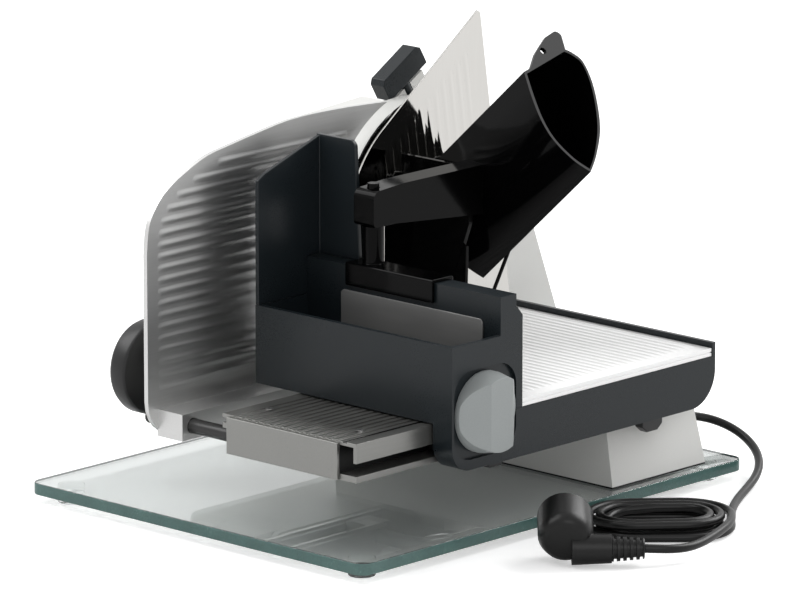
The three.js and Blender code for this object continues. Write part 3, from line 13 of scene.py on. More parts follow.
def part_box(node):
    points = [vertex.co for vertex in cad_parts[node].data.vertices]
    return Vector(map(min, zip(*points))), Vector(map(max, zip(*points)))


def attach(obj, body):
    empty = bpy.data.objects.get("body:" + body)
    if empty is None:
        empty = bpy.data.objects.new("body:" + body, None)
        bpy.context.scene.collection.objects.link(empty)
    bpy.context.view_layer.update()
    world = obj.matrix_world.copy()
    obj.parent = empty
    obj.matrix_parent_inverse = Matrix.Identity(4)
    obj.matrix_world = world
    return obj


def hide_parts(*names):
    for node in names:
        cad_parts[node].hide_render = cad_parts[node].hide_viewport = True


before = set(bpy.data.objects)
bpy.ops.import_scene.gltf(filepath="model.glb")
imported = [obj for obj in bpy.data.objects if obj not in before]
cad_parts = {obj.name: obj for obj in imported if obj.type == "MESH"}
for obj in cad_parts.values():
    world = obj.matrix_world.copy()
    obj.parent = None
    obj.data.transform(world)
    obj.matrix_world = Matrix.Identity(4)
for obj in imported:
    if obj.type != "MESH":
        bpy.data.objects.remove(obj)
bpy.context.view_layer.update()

LOG = logging.getLogger("food_slicer")
MM = 0.001
# Tolerances are in metres, angles in degrees and the insets of the channel in millimetres.
MERGE = 2e-6
BEVEL_MERGE = 5e-6
BEVEL_PROFILE = 0.6
SEAM_DEG = 0.6
SMOOTH_DEG = 35.0
SHARP_DEG = 40.0
FACE_WEIGHT = 100
PATTERN_LOW, PATTERN_HIGH = 0.3, 0.7
EDGE_TILT = 0.5
CHANNEL_INSET = (3.0, 15.5)
CHANNEL_TILT = 0.7
HEAD_SIDES = 28
SLOT_SHARES = (("X", 1.3), ("Y", 0.28), ("Z", 0.4))
RIB_RISE = (
    (0.0, -0.2), (0.012, 0.25), (0.03, 0.7), (0.06, 1.0),
    (0.94, 1.0), (0.97, 0.7), (0.988, 0.25), (1.0, -0.2),
)
RIB_FOOT = 0.5
Point = tuple[float, float, float]
Tree = bpy.types.NodeTree
Socket = bpy.types.NodeSocket
Node = bpy.types.Node
Face = bpy.types.MeshPolygon


def glass_shift() -> tuple[float, float]:
    """Returns: the row-frame place of the glass base's middle, in metres."""
    low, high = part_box("glass_base")
    return (low.x + high.x) / 2, (low.y + high.y) / 2


SHIFT_X, SHIFT_Y = glass_shift()
BED_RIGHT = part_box("bed_extrusion")[1].x


def at(x: float, y: float, z: float) -> Vector:
    """Turns a place measured from the middle of the glass base into the row frame.

    Args:
        x: millimetres to the operator's right.
        y: millimetres away from the operator.
        z: millimetres above the table.

    Returns:
        The place in metres in the row frame.
    """
    return Vector((x * MM + SHIFT_X, y * MM + SHIFT_Y, z * MM))


class Body(Enum):
    """The moving groups of the machine."""

    BASE = "base"
    BLADE = "blade"
    WORM = "worm"
    STOP = "stop_plate"
    DIAL = "thickness_knob"
    CARRIAGE = "carriage"
    LOCK = "lock_knob"
    CHUTE = "chute"
    SWITCH = "switch"


class Grain(Enum):
    """How a finish's fine marks run: stretch of the noise along X, Y and Z."""

    EVEN = (1.0, 1.0, 1.0)
    ALONG_X = (0.03, 1.0, 1.0)
    ALONG_Y = (1.0, 0.03, 1.0)
    ALONG_Z = (1.0, 1.0, 0.03)


@dataclass(frozen=True)
class Finish:
    """One procedural finish: a base colour with fine variation of colour, gloss and relief."""

    name: str
    slot: str
    color: Point
    roughness: float
    metallic: float = 0.0
    grain: Grain = Grain.EVEN
    grain_scale: float = 900.0
    relief: float = 0.05
    tone: float = 0.06
    gloss_spread: float = 0.08
    specular: float = 0.5
    cloud_scale: float = 18.0
    cloud_share: float = 0.45
    fine_detail: float = 3.0
    cloud_detail: float = 4.0
    relief_depth: float = 0.0004

    def material(self) -> bpy.types.Material:
        """Returns: the finish's material, made once."""
        found = bpy.data.materials.get(self.name)
        return found if found is not None else self._make()

    def _make(self) -> bpy.types.Material:
        """Makes the finish's nodes on Object coordinates.

        Returns:
            The new material.
        """
        material = bpy.data.materials.new(self.name)
        material.use_nodes = True
        tree = material.node_tree
        shader = tree.nodes["Principled BSDF"]
        shader.inputs["Metallic"].default_value = self.metallic
        shader.inputs["Specular IOR Level"].default_value = self.specular
        coords = tree.nodes.new("ShaderNodeTexCoord")
        stretch = tree.nodes.new("ShaderNodeMapping")
        stretch.inputs["Scale"].default_value = self.grain.value
        tree.links.new(coords.outputs["Object"], stretch.inputs["Vector"])
        fine = self._noise(tree, stretch.outputs["Vector"], self.grain_scale, self.fine_detail)
        cloud = self._noise(tree, coords.outputs["Object"], self.cloud_scale, self.cloud_detail)
        blend = tree.nodes.new("ShaderNodeMix")
        blend.data_type = "FLOAT"
        blend.inputs["Factor"].default_value = self.cloud_share
        tree.links.new(fine.outputs["Fac"], blend.inputs["A"])
        tree.links.new(cloud.outputs["Fac"], blend.inputs["B"])
        self._tint(tree, blend.outputs["Result"], shader)
        self._gloss(tree, blend.outputs["Result"], shader)
        if self.relief > 0:
            bump = tree.nodes.new("ShaderNodeBump")
            bump.inputs["Strength"].default_value = self.relief
            bump.inputs["Distance"].default_value = self.relief_depth
            tree.links.new(fine.outputs["Fac"], bump.inputs["Height"])
            tree.links.new(bump.outputs["Normal"], shader.inputs["Normal"])
        return material

    @staticmethod
    def _noise(tree: Tree, vector: Socket, scale: float, detail: float) -> Node:
        """Adds a noise pattern.

        Args:
            tree: the material's nodes.
            vector: the coordinates that the pattern reads.
            scale: how fine it is.
            detail: its octaves.

        Returns:
            The noise node.
        """
        noise = tree.nodes.new("ShaderNodeTexNoise")
        noise.inputs["Scale"].default_value = scale
        noise.inputs["Detail"].default_value = detail
        tree.links.new(vector, noise.inputs["Vector"])
        return noise

    def _tint(self, tree: Tree, value: Socket, shader: Node) -> None:
        """Links a colour that drifts a little darker and lighter with the pattern.

        Args:
            tree: the material's nodes.
            value: the pattern, about 0.5 in the middle.
            shader: the surface shader.
        """
        ramp = tree.nodes.new("ShaderNodeValToRGB")
        ramp.color_ramp.elements[0].position = PATTERN_LOW
        ramp.color_ramp.elements[1].position = PATTERN_HIGH
        for element, sign in zip(ramp.color_ramp.elements, (-1, 1)):
            element.color = (*(min(1.0, c * (1 + sign * self.tone)) for c in self.color), 1.0)
        tree.links.new(value, ramp.inputs["Fac"])
        tree.links.new(ramp.outputs["Color"], shader.inputs["Base Color"])

    def _gloss(self, tree: Tree, value: Socket, shader: Node) -> None:
        """Links a roughness that varies with the pattern.

        Args:
            tree: the material's nodes.
            value: the pattern, about 0.5 in the middle.
            shader: the surface shader.
        """
        spread = tree.nodes.new("ShaderNodeMapRange")
        spread.inputs["From Min"].default_value = PATTERN_LOW
        spread.inputs["From Max"].default_value = PATTERN_HIGH
        spread.inputs["To Min"].default_value = max(0.0, self.roughness - self.gloss_spread)
        spread.inputs["To Max"].default_value = self.roughness + self.gloss_spread
        tree.links.new(value, spread.inputs["Value"])
        tree.links.new(spread.outputs["Result"], shader.inputs["Roughness"])


@dataclass(frozen=True)
class Fade:
    """Roughness that grows along a direction, between two distances from the origin in metres."""

    axis: Point
    start: float
    end: float
    matte: float


@dataclass(frozen=True)
class FadedSatin(Finish):
    """Satin metal that grows more matte towards its front edge and its crown."""

    fades: tuple[Fade, ...] = (
        Fade((0.0, -1.0, 0.0), 0.105, 0.175, 0.12),
        Fade((0.0, 0.0, 1.0), 0.215, 0.262, 0.32),
    )

    def _gloss(self, tree: Tree, value: Socket, shader: Node) -> None:
        """Links the varied roughness with the fades added to it.

        Args:
            tree: the material's nodes.
            value: the pattern, about 0.5 in the middle.
            shader: the surface shader.
        """
        super()._gloss(tree, value, shader)
        coords = tree.nodes.new("ShaderNodeTexCoord")
        for fade in self.fades:
            before = shader.inputs["Roughness"].links[0].from_socket
            along = tree.nodes.new("ShaderNodeVectorMath")
            along.operation = "DOT_PRODUCT"
            along.inputs[1].default_value = fade.axis
            tree.links.new(coords.outputs["Object"], along.inputs[0])
            growth = tree.nodes.new("ShaderNodeMapRange")
            growth.interpolation_type = "SMOOTHSTEP"
            growth.inputs["From Min"].default_value = fade.start
            growth.inputs["From Max"].default_value = fade.end
            growth.inputs["To Max"].default_value = fade.matte
            tree.links.new(along.outputs["Value"], growth.inputs["Value"])
            total = tree.nodes.new("ShaderNodeMath")
            tree.links.new(before, total.inputs[0])
            tree.links.new(growth.outputs["Result"], total.inputs[1])
            tree.links.new(total.outputs[0], shader.inputs["Roughness"])


@dataclass(frozen=True)
class ClearGlass(Finish):
    """Clear glass whose body takes up a little light, so that its edges turn dark green."""

    ior: float = 1.6
    body_color: Point = (0.30, 0.56, 0.50)
    density: float = 9.0

    def _make(self) -> bpy.types.Material:
        """Makes the finish's nodes and lets light through a tinted body.

        Returns:
            The new material.
        """
        material = super()._make()
        tree = material.node_tree
        shader = tree.nodes["Principled BSDF"]
        shader.inputs["Transmission Weight"].default_value = 1.0
        shader.inputs["IOR"].default_value = self.ior
        body = tree.nodes.new("ShaderNodeVolumeAbsorption")
        body.inputs["Color"].default_value = (*self.body_color, 1.0)
        body.inputs["Density"].default_value = self.density
        tree.links.new(body.outputs["Volume"], tree.nodes["Material Output"].inputs["Volume"])
        return material


GLASS = ClearGlass("tinted_glass", "clear_glass", (0.98, 0.99, 0.985), 0.006, relief=0.0, tone=0.005,
                   gloss_spread=0.006)
GLASS_EDGE = Finish("ground_glass_edge", "clear_glass", (0.066, 0.135, 0.124), 0.22, relief=0.02,
                    tone=0.25, cloud_scale=60.0)
CLEAR_FOOT = ClearGlass("clear_foot", "clear_glass", (0.97, 0.98, 0.975), 0.03, relief=0.0, tone=0.01,
                        gloss_spread=0.01, specular=0.2, ior=1.05, density=3.0)
GREY_PAINT = Finish("satin_grey_paint", "grey_paint", (0.68, 0.68, 0.66), 0.36, relief=0.03, tone=0.02)
ANODISED = Finish("anodised_aluminium", "aluminium", (0.25, 0.25, 0.24), 0.34, 0.85, Grain.ALONG_Y,
                  relief=0.03)
SATIN_PLATE = FadedSatin("satin_plate", "aluminium", (0.62, 0.62, 0.615), 0.31, 1.0, Grain.ALONG_Y,
                         relief=0.0, tone=0.05, gloss_spread=0.03)
FLOOR_PLATE = Finish("floor_plate", "aluminium", (0.99, 0.99, 0.985), 0.34, 0.0, Grain.ALONG_X,
                     relief=0.008, tone=0.02, specular=0.9)
MIRROR_STEEL = Finish("mirror_steel", "polished_steel", (0.53, 0.52, 0.50), 0.06, 1.0, Grain.ALONG_Z,
                      relief=0.006, tone=0.02, gloss_spread=0.025)
BLADE_STEEL = Finish("blade_steel", "polished_steel", (0.70, 0.70, 0.70), 0.14, 1.0, relief=0.01,
                     tone=0.03)
ANTHRACITE = Finish("anthracite_plastic", "dark_plastic", (0.0095, 0.0130, 0.0155), 0.30,
                    grain_scale=1500.0, relief=0.05, tone=0.10, gloss_spread=0.05, specular=0.28)
GLOSS_BLACK = Finish("gloss_black_plastic", "gloss_black", (0.0010, 0.0010, 0.0011), 0.10, relief=0.004,
                     tone=0.2, gloss_spread=0.03, specular=0.08)
SATIN_BLACK = Finish("satin_black_plastic", "gloss_black", (0.007, 0.007, 0.0075), 0.36,
                     grain_scale=1200.0, relief=0.06, tone=0.15, specular=0.4)
CORD_BLACK = Finish("cord_black", "black_rubber", (0.0035, 0.0035, 0.0035), 0.34, relief=0.05,
                    tone=0.15, specular=0.26)
LOCK_GREY = Finish("lock_grey_plastic", "knob_grey", (0.29, 0.31, 0.31), 0.40, grain_scale=1300.0,
                   relief=0.05, tone=0.05)
PANEL_GREY = Finish("panel_grey", "aluminium", (0.20, 0.20, 0.197), 0.42, 0.5, Grain.ALONG_X,
                    relief=0.03, tone=0.04)
# Near-black finish for the back and ceiling of the bed's channel, which makes that recess darker than
# the rest of the bed.
CHANNEL_DARK = Finish("channel_dark", "aluminium", (0.004, 0.004, 0.004), 0.5, relief=0.03, tone=0.1,
                      specular=0.2)
PLAIN_STEEL = Finish("plain_steel", "steel", (0.50, 0.50, 0.50), 0.3, 1.0, relief=0.03, tone=0.08)
DARK_STEEL = Finish("dark_steel", "steel", (0.05, 0.05, 0.05), 0.34, 0.9, Grain.ALONG_X,
                    relief=0.03, tone=0.1)
NYLON = Finish("natural_nylon", "gear_nylon", (0.80, 0.78, 0.70), 0.55, relief=0.05, tone=0.04)


def finish_piece(obj: bpy.types.Object, finish: Finish, body: Body, *nodes: str) -> bpy.types.Object:
    """Gives a piece its finish and its body, and hides the solids that it stands for.

    Args:
        obj: the piece, in place.
        finish: its finish.
        body: the moving group that carries it.
        nodes: the solids that it replaces.

    Returns:
        The same piece.
    """
    obj.data.materials.clear()
    obj.data.materials.append(finish.material())
    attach(obj, body.value)
    if nodes:
        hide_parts(*nodes)
    LOG.info("piece %s on %s", obj.name, body.value)
    return obj


def link_mesh(name: str, mesh: bpy.types.Mesh) -> bpy.types.Object:
    """Links a mesh into the scene.

    Args:
        name: the object's name.
        mesh: its form.

    Returns:
        The new object.
    """
    obj = bpy.data.objects.new(name, mesh)
    bpy.context.scene.collection.objects.link(obj)
    return obj


def mesh_of(
    name: str, bm: bmesh.types.BMesh, smooth_deg: float = SMOOTH_DEG, weighted: bool = True
) -> bpy.types.Object:
    """Turns a bmesh into a smooth-shaded object.

    Args:
        name: the piece's name.
        bm: its form, freed here.
        smooth_deg: edges sharper than this stay sharp.
        weighted: whether its large faces rule the shading.

    Returns:
        The new object.
    """
    mesh = bpy.data.meshes.new(name)
    bm.to_mesh(mesh)
    bm.free()
    mesh.shade_smooth()
    mesh.set_sharp_from_angle(angle=math.radians(smooth_deg))
    obj = link_mesh(name, mesh)
    return weigh_normals(obj) if weighted else obj


def weigh_normals(obj: bpy.types.Object) -> bpy.types.Object:
    """Lets the large faces rule the shading, so that a rounded edge doesn't bend the light on a flat.

    Args:
        obj: a smooth-shaded piece.

    Returns:
        The same piece, with its new mesh and no modifier.
    """
    weigh = obj.modifiers.new("face_weights", "WEIGHTED_NORMAL")
    weigh.mode = "FACE_AREA"
    weigh.weight = FACE_WEIGHT
    weigh.keep_sharp = True
    depsgraph = bpy.context.evaluated_depsgraph_get()
    mesh = bpy.data.meshes.new_from_object(obj.evaluated_get(depsgraph))
    old = obj.data
    obj.modifiers.clear()
    obj.data = mesh
    bpy.data.meshes.remove(old)
    mesh.name = obj.name
    return obj


def round_edges(
    bm: bmesh.types.BMesh, radius: float, steps: int = 2, sharp_deg: float = SHARP_DEG
) -> None:
    """Bevels the sharp edges of a form.

    Args:
        bm: the merged form.
        radius: millimetres from the edge.
        steps: segments of the bevel.
        sharp_deg: the least angle of an edge that is bevelled.
    """
    limit = math.radians(sharp_deg)
    sharp = [e for e in bm.edges if e.is_manifold and e.calc_face_angle(0.0) > limit]
    bmesh.ops.bevel(bm, geom=sharp, offset=radius * MM, segments=steps,
                    profile=BEVEL_PROFILE, affect="EDGES", clamp_overlap=True, loop_slide=True)
    bmesh.ops.remove_doubles(bm, verts=bm.verts, dist=BEVEL_MERGE)
    bmesh.ops.dissolve_degenerate(bm, dist=MERGE, edges=bm.edges)


def merged_copy(node: str) -> bmesh.types.BMesh:
    """Copies a solid's mesh and merges its doubles.

    Args:
        node: the solid's name.

    Returns:
        The merged copy.
    """
    bm = bmesh.new()
    bm.from_mesh(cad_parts[node].data)
    bmesh.ops.remove_doubles(bm, verts=bm.verts, dist=MERGE)
    return bm


def flatten_seams(bm: bmesh.types.BMesh) -> None:
    """Args: bm: a merged form, whose coplanar faces are joined."""
    limit = math.radians(SEAM_DEG)
    bmesh.ops.dissolve_limit(bm, angle_limit=limit, verts=bm.verts, edges=bm.edges)


@dataclass
class Dressing:
    """A solid shown with rounded edges: a merged copy of it with its sharp edges bevelled."""

    node: str
    finish: Finish
    body: Body
    edge: float = 0.0
    steps: int = 2
    sharp_deg: float = SHARP_DEG

    def build(self) -> bpy.types.Object:
        """Rounds the edges of the solid's copy.

        Returns:
            The dressed piece, which replaces its solid.
        """
        bm = merged_copy(self.node)
        flatten_seams(bm)
        if self.edge > 0:
            round_edges(bm, self.edge, self.steps, self.sharp_deg)
        obj = mesh_of(f"{self.node}_dressed", bm, self.sharp_deg)
        return finish_piece(obj, self.finish, self.body, self.node)


def is_upright(face: Face) -> bool:
    """Args: face: of the glass base. Returns: whether it belongs to the ground edge."""
    return abs(face.normal.z) < EDGE_TILT


def in_channel(face: Face) -> bool:
    """Tells the back and the ceiling of the runner's channel from the rest of the bed.

    Args:
        face: one face of the bed.

    Returns:
        Whether it is one of them.
    """
    low, high = CHANNEL_INSET
    turned_in = face.normal.x > CHANNEL_TILT or face.normal.z < -CHANNEL_TILT
    return low < (BED_RIGHT - face.center.x) / MM < high and turned_in


@dataclass
class TwoTone(Dressing):
    """A dressed solid with a second finish on some of its faces."""

    second: Finish = GLASS_EDGE
    picks: Callable[[Face], bool] = is_upright

    def build(self) -> bpy.types.Object:
        """Dresses the solid, then gives the picked faces their own finish.

        Returns:
            The dressed piece.
        """
        obj = super().build()
        obj.data.materials.append(self.second.material())
        for face in obj.data.polygons:
            face.material_index = int(self.picks(face))
        return obj


class NodeGroup:
    """A Geometry Nodes tree with named inputs, and its run on a mesh."""

    def __init__(self, name: str, inputs: dict[str, str]) -> None:
        """Starts a tree.

        Args:
            name: the tree's name.
            inputs: its named inputs and their socket types; a finish is added.
        """
        self.tree = bpy.data.node_groups.new(name, "GeometryNodeTree")
        face = self.tree.interface
        face.new_socket("Geometry", in_out="INPUT", socket_type="NodeSocketGeometry")
        face.new_socket("Geometry", in_out="OUTPUT", socket_type="NodeSocketGeometry")
        kinds = {**inputs, "Finish": "NodeSocketMaterial"}
        self.keys = {
            label: face.new_socket(label, in_out="INPUT", socket_type=kind).identifier
            for label, kind in kinds.items()
        }
        self.source = self.add("NodeGroupInput")

    def add(self, kind: str) -> Node:
        """Args: kind: a node type. Returns: a new node of it."""
        return self.tree.nodes.new(kind)

    def link(self, output: Socket, target: Socket) -> None:
        """Args: output, target: the two sockets to join."""
        self.tree.links.new(output, target)

    def close(self, instances: Socket) -> None:
        """Ends the tree: instances become a mesh, and the mesh gets its finish.

        Args:
            instances: the copies that the tree has laid.
        """
        real = self.add("GeometryNodeRealizeInstances")
        dress = self.add("GeometryNodeSetMaterial")
        sink = self.add("NodeGroupOutput")
        self.link(instances, real.inputs["Geometry"])
        self.link(real.outputs["Geometry"], dress.inputs["Geometry"])
        self.link(self.source.outputs["Finish"], dress.inputs["Material"])
        self.link(dress.outputs["Geometry"], sink.inputs["Geometry"])

    def run(
        self, name: str, start: bpy.types.Object, finish: Finish, **values: object
    ) -> bpy.types.Object:
        """Runs the tree on an object and keeps the result as a plain mesh.

        Args:
            name: the new piece's name.
            start: the object that the tree reads, removed here.
            finish: the finish of the copies.
            values: the tree's inputs by name.

        Returns:
            The new piece, without a modifier.
        """
        modifier = start.modifiers.new(self.tree.name, "NODES")
        modifier.node_group = self.tree
        modifier[self.keys["Finish"]] = finish.material()
        for label, value in values.items():
            modifier[self.keys[label]] = value
        depsgraph = bpy.context.evaluated_depsgraph_get()
        mesh = bpy.data.meshes.new_from_object(start.evaluated_get(depsgraph))
        mesh.name = name
        bpy.data.objects.remove(start)
        mesh.shade_smooth()
        mesh.set_sharp_from_angle(angle=math.radians(SMOOTH_DEG))
        return link_mesh(name, mesh)


def row_tree() -> NodeGroup:
    """Builds the tree of a straight row.

    Returns:
        A tree that repeats the mesh it reads.
    """
    group = NodeGroup("straight_row", {"Count": "NodeSocketInt", "Step": "NodeSocketVector"})
    line = group.add("GeometryNodeMeshLine")
    copies = group.add("GeometryNodeInstanceOnPoints")
    group.link(group.source.outputs["Count"], line.inputs["Count"])
    group.link(group.source.outputs["Step"], line.inputs["Offset"])
    group.link(line.outputs["Mesh"], copies.inputs["Points"])
    group.link(group.source.outputs["Geometry"], copies.inputs["Instance"])
    group.close(copies.outputs["Instances"])
    return group


def rib_tree() -> NodeGroup:
    """Builds the tree of a sheet's ribs.

    Returns:
        A tree that lays a turned rib on each point, stretched to its reach.
    """
    group = NodeGroup("ribs_by_reach", {"Rib": "NodeSocketObject", "Turn": "NodeSocketVector"})
    unit = group.add("GeometryNodeObjectInfo")
    turn = group.add("FunctionNodeEulerToRotation")
    reach = group.add("GeometryNodeInputNamedAttribute")
    reach.data_type = "FLOAT"
    reach.inputs["Name"].default_value = "reach"
    stretch = group.add("ShaderNodeCombineXYZ")
    stretch.inputs["Y"].default_value = 1.0
    stretch.inputs["Z"].default_value = 1.0
    copies = group.add("GeometryNodeInstanceOnPoints")
    group.link(group.source.outputs["Rib"], unit.inputs["Object"])
    group.link(group.source.outputs["Turn"], turn.inputs["Euler"])
    group.link(reach.outputs["Attribute"], stretch.inputs["X"])
    group.link(group.source.outputs["Geometry"], copies.inputs["Points"])
    group.link(unit.outputs["Geometry"], copies.inputs["Instance"])
    group.link(turn.outputs["Rotation"], copies.inputs["Rotation"])
    group.link(stretch.outputs["Vector"], copies.inputs["Scale"])
    group.close(copies.outputs["Instances"])
    return group


def screw_tree() -> NodeGroup:
    """Builds the tree of the screw heads.

    Returns:
        A tree that sets a slotted button head on each point.
    """
    group = NodeGroup("button_heads", {"Radius": "NodeSocketFloat", "Height": "NodeSocketFloat"})
    head = group.add("GeometryNodeMeshCylinder")
    head.inputs["Vertices"].default_value = HEAD_SIDES
    group.link(group.source.outputs["Radius"], head.inputs["Radius"])
    group.link(group.source.outputs["Height"], head.inputs["Depth"])
    cutter = group.add("GeometryNodeMeshCube")
    size = group.add("ShaderNodeCombineXYZ")
    for axis, share in SLOT_SHARES:
        scaled = group.add("ShaderNodeMath")
        scaled.operation = "MULTIPLY"
        scaled.inputs[1].default_value = share
        group.link(group.source.outputs["Radius"], scaled.inputs[0])
        group.link(scaled.outputs[0], size.inputs[axis])
    group.link(size.outputs["Vector"], cutter.inputs["Size"])
    half = group.add("ShaderNodeMath")
    half.operation = "MULTIPLY"
    half.inputs[1].default_value = 0.5
    group.link(group.source.outputs["Height"], half.inputs[0])
    lift = group.add("ShaderNodeCombineXYZ")
    group.link(half.outputs[0], lift.inputs["Z"])
    raised = group.add("GeometryNodeTransform")
    group.link(cutter.outputs["Mesh"], raised.inputs["Geometry"])
    group.link(lift.outputs["Vector"], raised.inputs["Translation"])
    recess = group.add("GeometryNodeMeshBoolean")
    recess.operation = "DIFFERENCE"
    group.link(head.outputs["Mesh"], recess.inputs["Mesh 1"])
    group.link(raised.outputs["Geometry"], recess.inputs["Mesh 2"])
    copies = group.add("GeometryNodeInstanceOnPoints")
    group.link(group.source.outputs["Geometry"], copies.inputs["Points"])
    group.link(recess.outputs["Mesh"], copies.inputs["Instance"])
    group.close(copies.outputs["Instances"])
    return group


def rib_unit(
    start: Vector, length: float, width: float, height: float, steps: int = 10
) -> bpy.types.Object:
    """Makes one rib along +X that swells softly out of its sheet and fades at its ends.

    Args:
        start: the middle of its foot at its left end.
        length: its length in metres.
        width: its width along Y in metres.
        height: its rise in metres.
        steps: faces across its back.

    Returns:
        The rib's object.
    """
    bm = bmesh.new()
    sink = Vector((0.0, 0.0, -height * RIB_FOOT))
    rings: list[list[bmesh.types.BMVert]] = []
    for share, rise in RIB_RISE:
        ring = []
        for i in range(steps + 1):
            u = 2 * i / steps - 1
            up = height * (rise * (1 + math.cos(math.pi * u)) / 2 if rise > 0 else rise)
            ring.append(bm.verts.new(start + Vector((length * share, u * width / 2, up))))
        ring.append(bm.verts.new(start + Vector((length * share, width / 2, 0.0)) + sink))
        ring.append(bm.verts.new(start + Vector((length * share, -width / 2, 0.0)) + sink))
        rings.append(ring)
    for near, far in zip(rings, rings[1:]):
        for i, vert in enumerate(near):
            j = (i + 1) % len(near)
            bm.faces.new((vert, near[j], far[j], far[i]))
    bm.faces.new(rings[0])
    bm.faces.new(rings[-1])
    bmesh.ops.recalc_face_normals(bm, faces=bm.faces)
    return mesh_of("rib_unit", bm, weighted=False)


@dataclass(frozen=True)
class Lamp:
    """One soft square lamp: its place and side in metres, and its strength in watts."""

    name: str
    place: Point
    size: float
    watts: float

    def hang(self, aim: Vector) -> None:
        """Hangs the lamp so that it faces the object.

        Args:
            aim: the point that it faces.
        """
        data = bpy.data.lights.new(self.name, "AREA")
        data.shape = "SQUARE"
        data.size = self.size
        data.energy = self.watts
        lamp = bpy.data.objects.new(self.name, data)
        lamp.location = self.place
        lamp.rotation_euler = (aim - Vector(self.place)).to_track_quat("-Z", "Y").to_euler()
        bpy.context.scene.collection.objects.link(lamp)


@dataclass
class Studio:
    """Camera, floor, surround and lamps."""

    azimuth: float = 43.21
    elevation: float = 13.41
    place: Point = (3328.8, -3532.8, 1287.7)
    lens: float = 337.94
    sensor: float = 36.0
    far_clip: float = 40.0
    floor_half: float = 9.0
    floor_level: float = -0.0004
    floor_tone: float = 0.9
    floor_roughness: float = 0.9
    world_strength: float = 0.45
    world_mirrored: float = 1.0
    floor_lift: float = 0.40
    floor_lift_mirrored: float = 0.05
    aim: Point = (0.0, 0.0, 0.12)
    lamps: tuple[Lamp, ...] = (
        Lamp("key_lamp", (-1.6, -1.2, 2.6), 2.4, 63.0),
        Lamp("fill_lamp", (2.6, -1.6, 1.8), 2.0, 19.0),
        Lamp("back_lamp", (0.6, 2.6, 2.2), 2.2, 80.0),
    )

    def build(self) -> None:
        """Builds the studio round the object."""
        self._camera()
        self._floor()
        self._world()
        for lamp in self.lamps:
            lamp.hang(Vector(self.aim))
        bpy.context.scene.view_settings.view_transform = "Standard"

    def _camera(self) -> None:
        """Places the camera at the photograph's viewing angle."""
        az = math.radians(self.azimuth)
        el = math.radians(self.elevation)
        forward = Vector((-math.sin(az) * math.cos(el), math.cos(az) * math.cos(el), -math.sin(el)))
        right = Vector((math.cos(az), math.sin(az), 0.0))
        up = right.cross(forward)
        data = bpy.data.cameras.new("camera")
        data.lens = self.lens
        data.sensor_width = self.sensor
        data.clip_end = self.far_clip
        camera = bpy.data.objects.new("camera", data)
        turn = Matrix((right, up, -forward)).transposed().to_4x4()
        camera.matrix_world = Matrix.Translation(at(*self.place)) @ turn
        bpy.context.scene.collection.objects.link(camera)
        bpy.context.scene.camera = camera

    def _floor(self) -> None:
        """Lays a pale floor that looks white to the camera and keeps the object's shadow."""
        half = self.floor_half
        mesh = bpy.data.meshes.new("floor")
        corners = [(-half, -half), (half, -half), (half, half), (-half, half)]
        mesh.from_pydata([(x, y, self.floor_level) for x, y in corners], [], [(0, 1, 2, 3)])
        floor = link_mesh("floor", mesh)
        material = bpy.data.materials.new("pale_floor")
        material.use_nodes = True
        tree = material.node_tree
        shader = tree.nodes["Principled BSDF"]
        shader.inputs["Base Color"].default_value = (*(self.floor_tone,) * 3, 1)
        shader.inputs["Roughness"].default_value = self.floor_roughness
        shader.inputs["Specular IOR Level"].default_value = 0.0
        rays = tree.nodes.new("ShaderNodeLightPath")
        total: Socket | None = None
        lifts = {"Is Camera Ray": self.floor_lift, "Is Glossy Ray": self.floor_lift_mirrored}
        for ray, share in lifts.items():
            lift = tree.nodes.new("ShaderNodeMath")
            lift.operation = "MULTIPLY_ADD"
            lift.inputs[2].default_value = 0.0
            lift.inputs[1].default_value = share
            tree.links.new(rays.outputs[ray], lift.inputs[0])
            if total is not None:
                tree.links.new(total, lift.inputs[2])
            total = lift.outputs[0]
        shader.inputs["Emission Color"].default_value = (1, 1, 1, 1)
        tree.links.new(total, shader.inputs["Emission Strength"])
        mesh.materials.append(material)

    def _world(self) -> None:
        """Sets an even surround that metal and glass mirror as white."""
        world = bpy.data.worlds.new("studio_world")
        bpy.context.scene.world = world
        world.use_nodes = True
        background = world.node_tree.nodes["Background"]
        background.inputs["Color"].default_value = (1, 1, 1, 1)
        rays = world.node_tree.nodes.new("ShaderNodeLightPath")
        lift = world.node_tree.nodes.new("ShaderNodeMath")
        lift.operation = "MULTIPLY_ADD"
        lift.inputs[1].default_value = self.world_mirrored - self.world_strength
        lift.inputs[2].default_value = self.world_strength
        world.node_tree.links.new(rays.outputs["Is Glossy Ray"], lift.inputs[0])
        world.node_tree.links.new(lift.outputs[0], background.inputs["Strength"])


def eased(points: list[Vector], passes: int) -> list[Vector]:
    """Softens a route and keeps its ends.

    Args:
        points: the route.
        passes: how often it is smoothed.

    Returns:
        The softened route.
    """
    for _ in range(passes):
        inner = [(a + b * 4 + c) / 6 for a, b, c in zip(points, points[1:], points[2:])]
        points = [points[0], *inner, points[-1]]
    return points


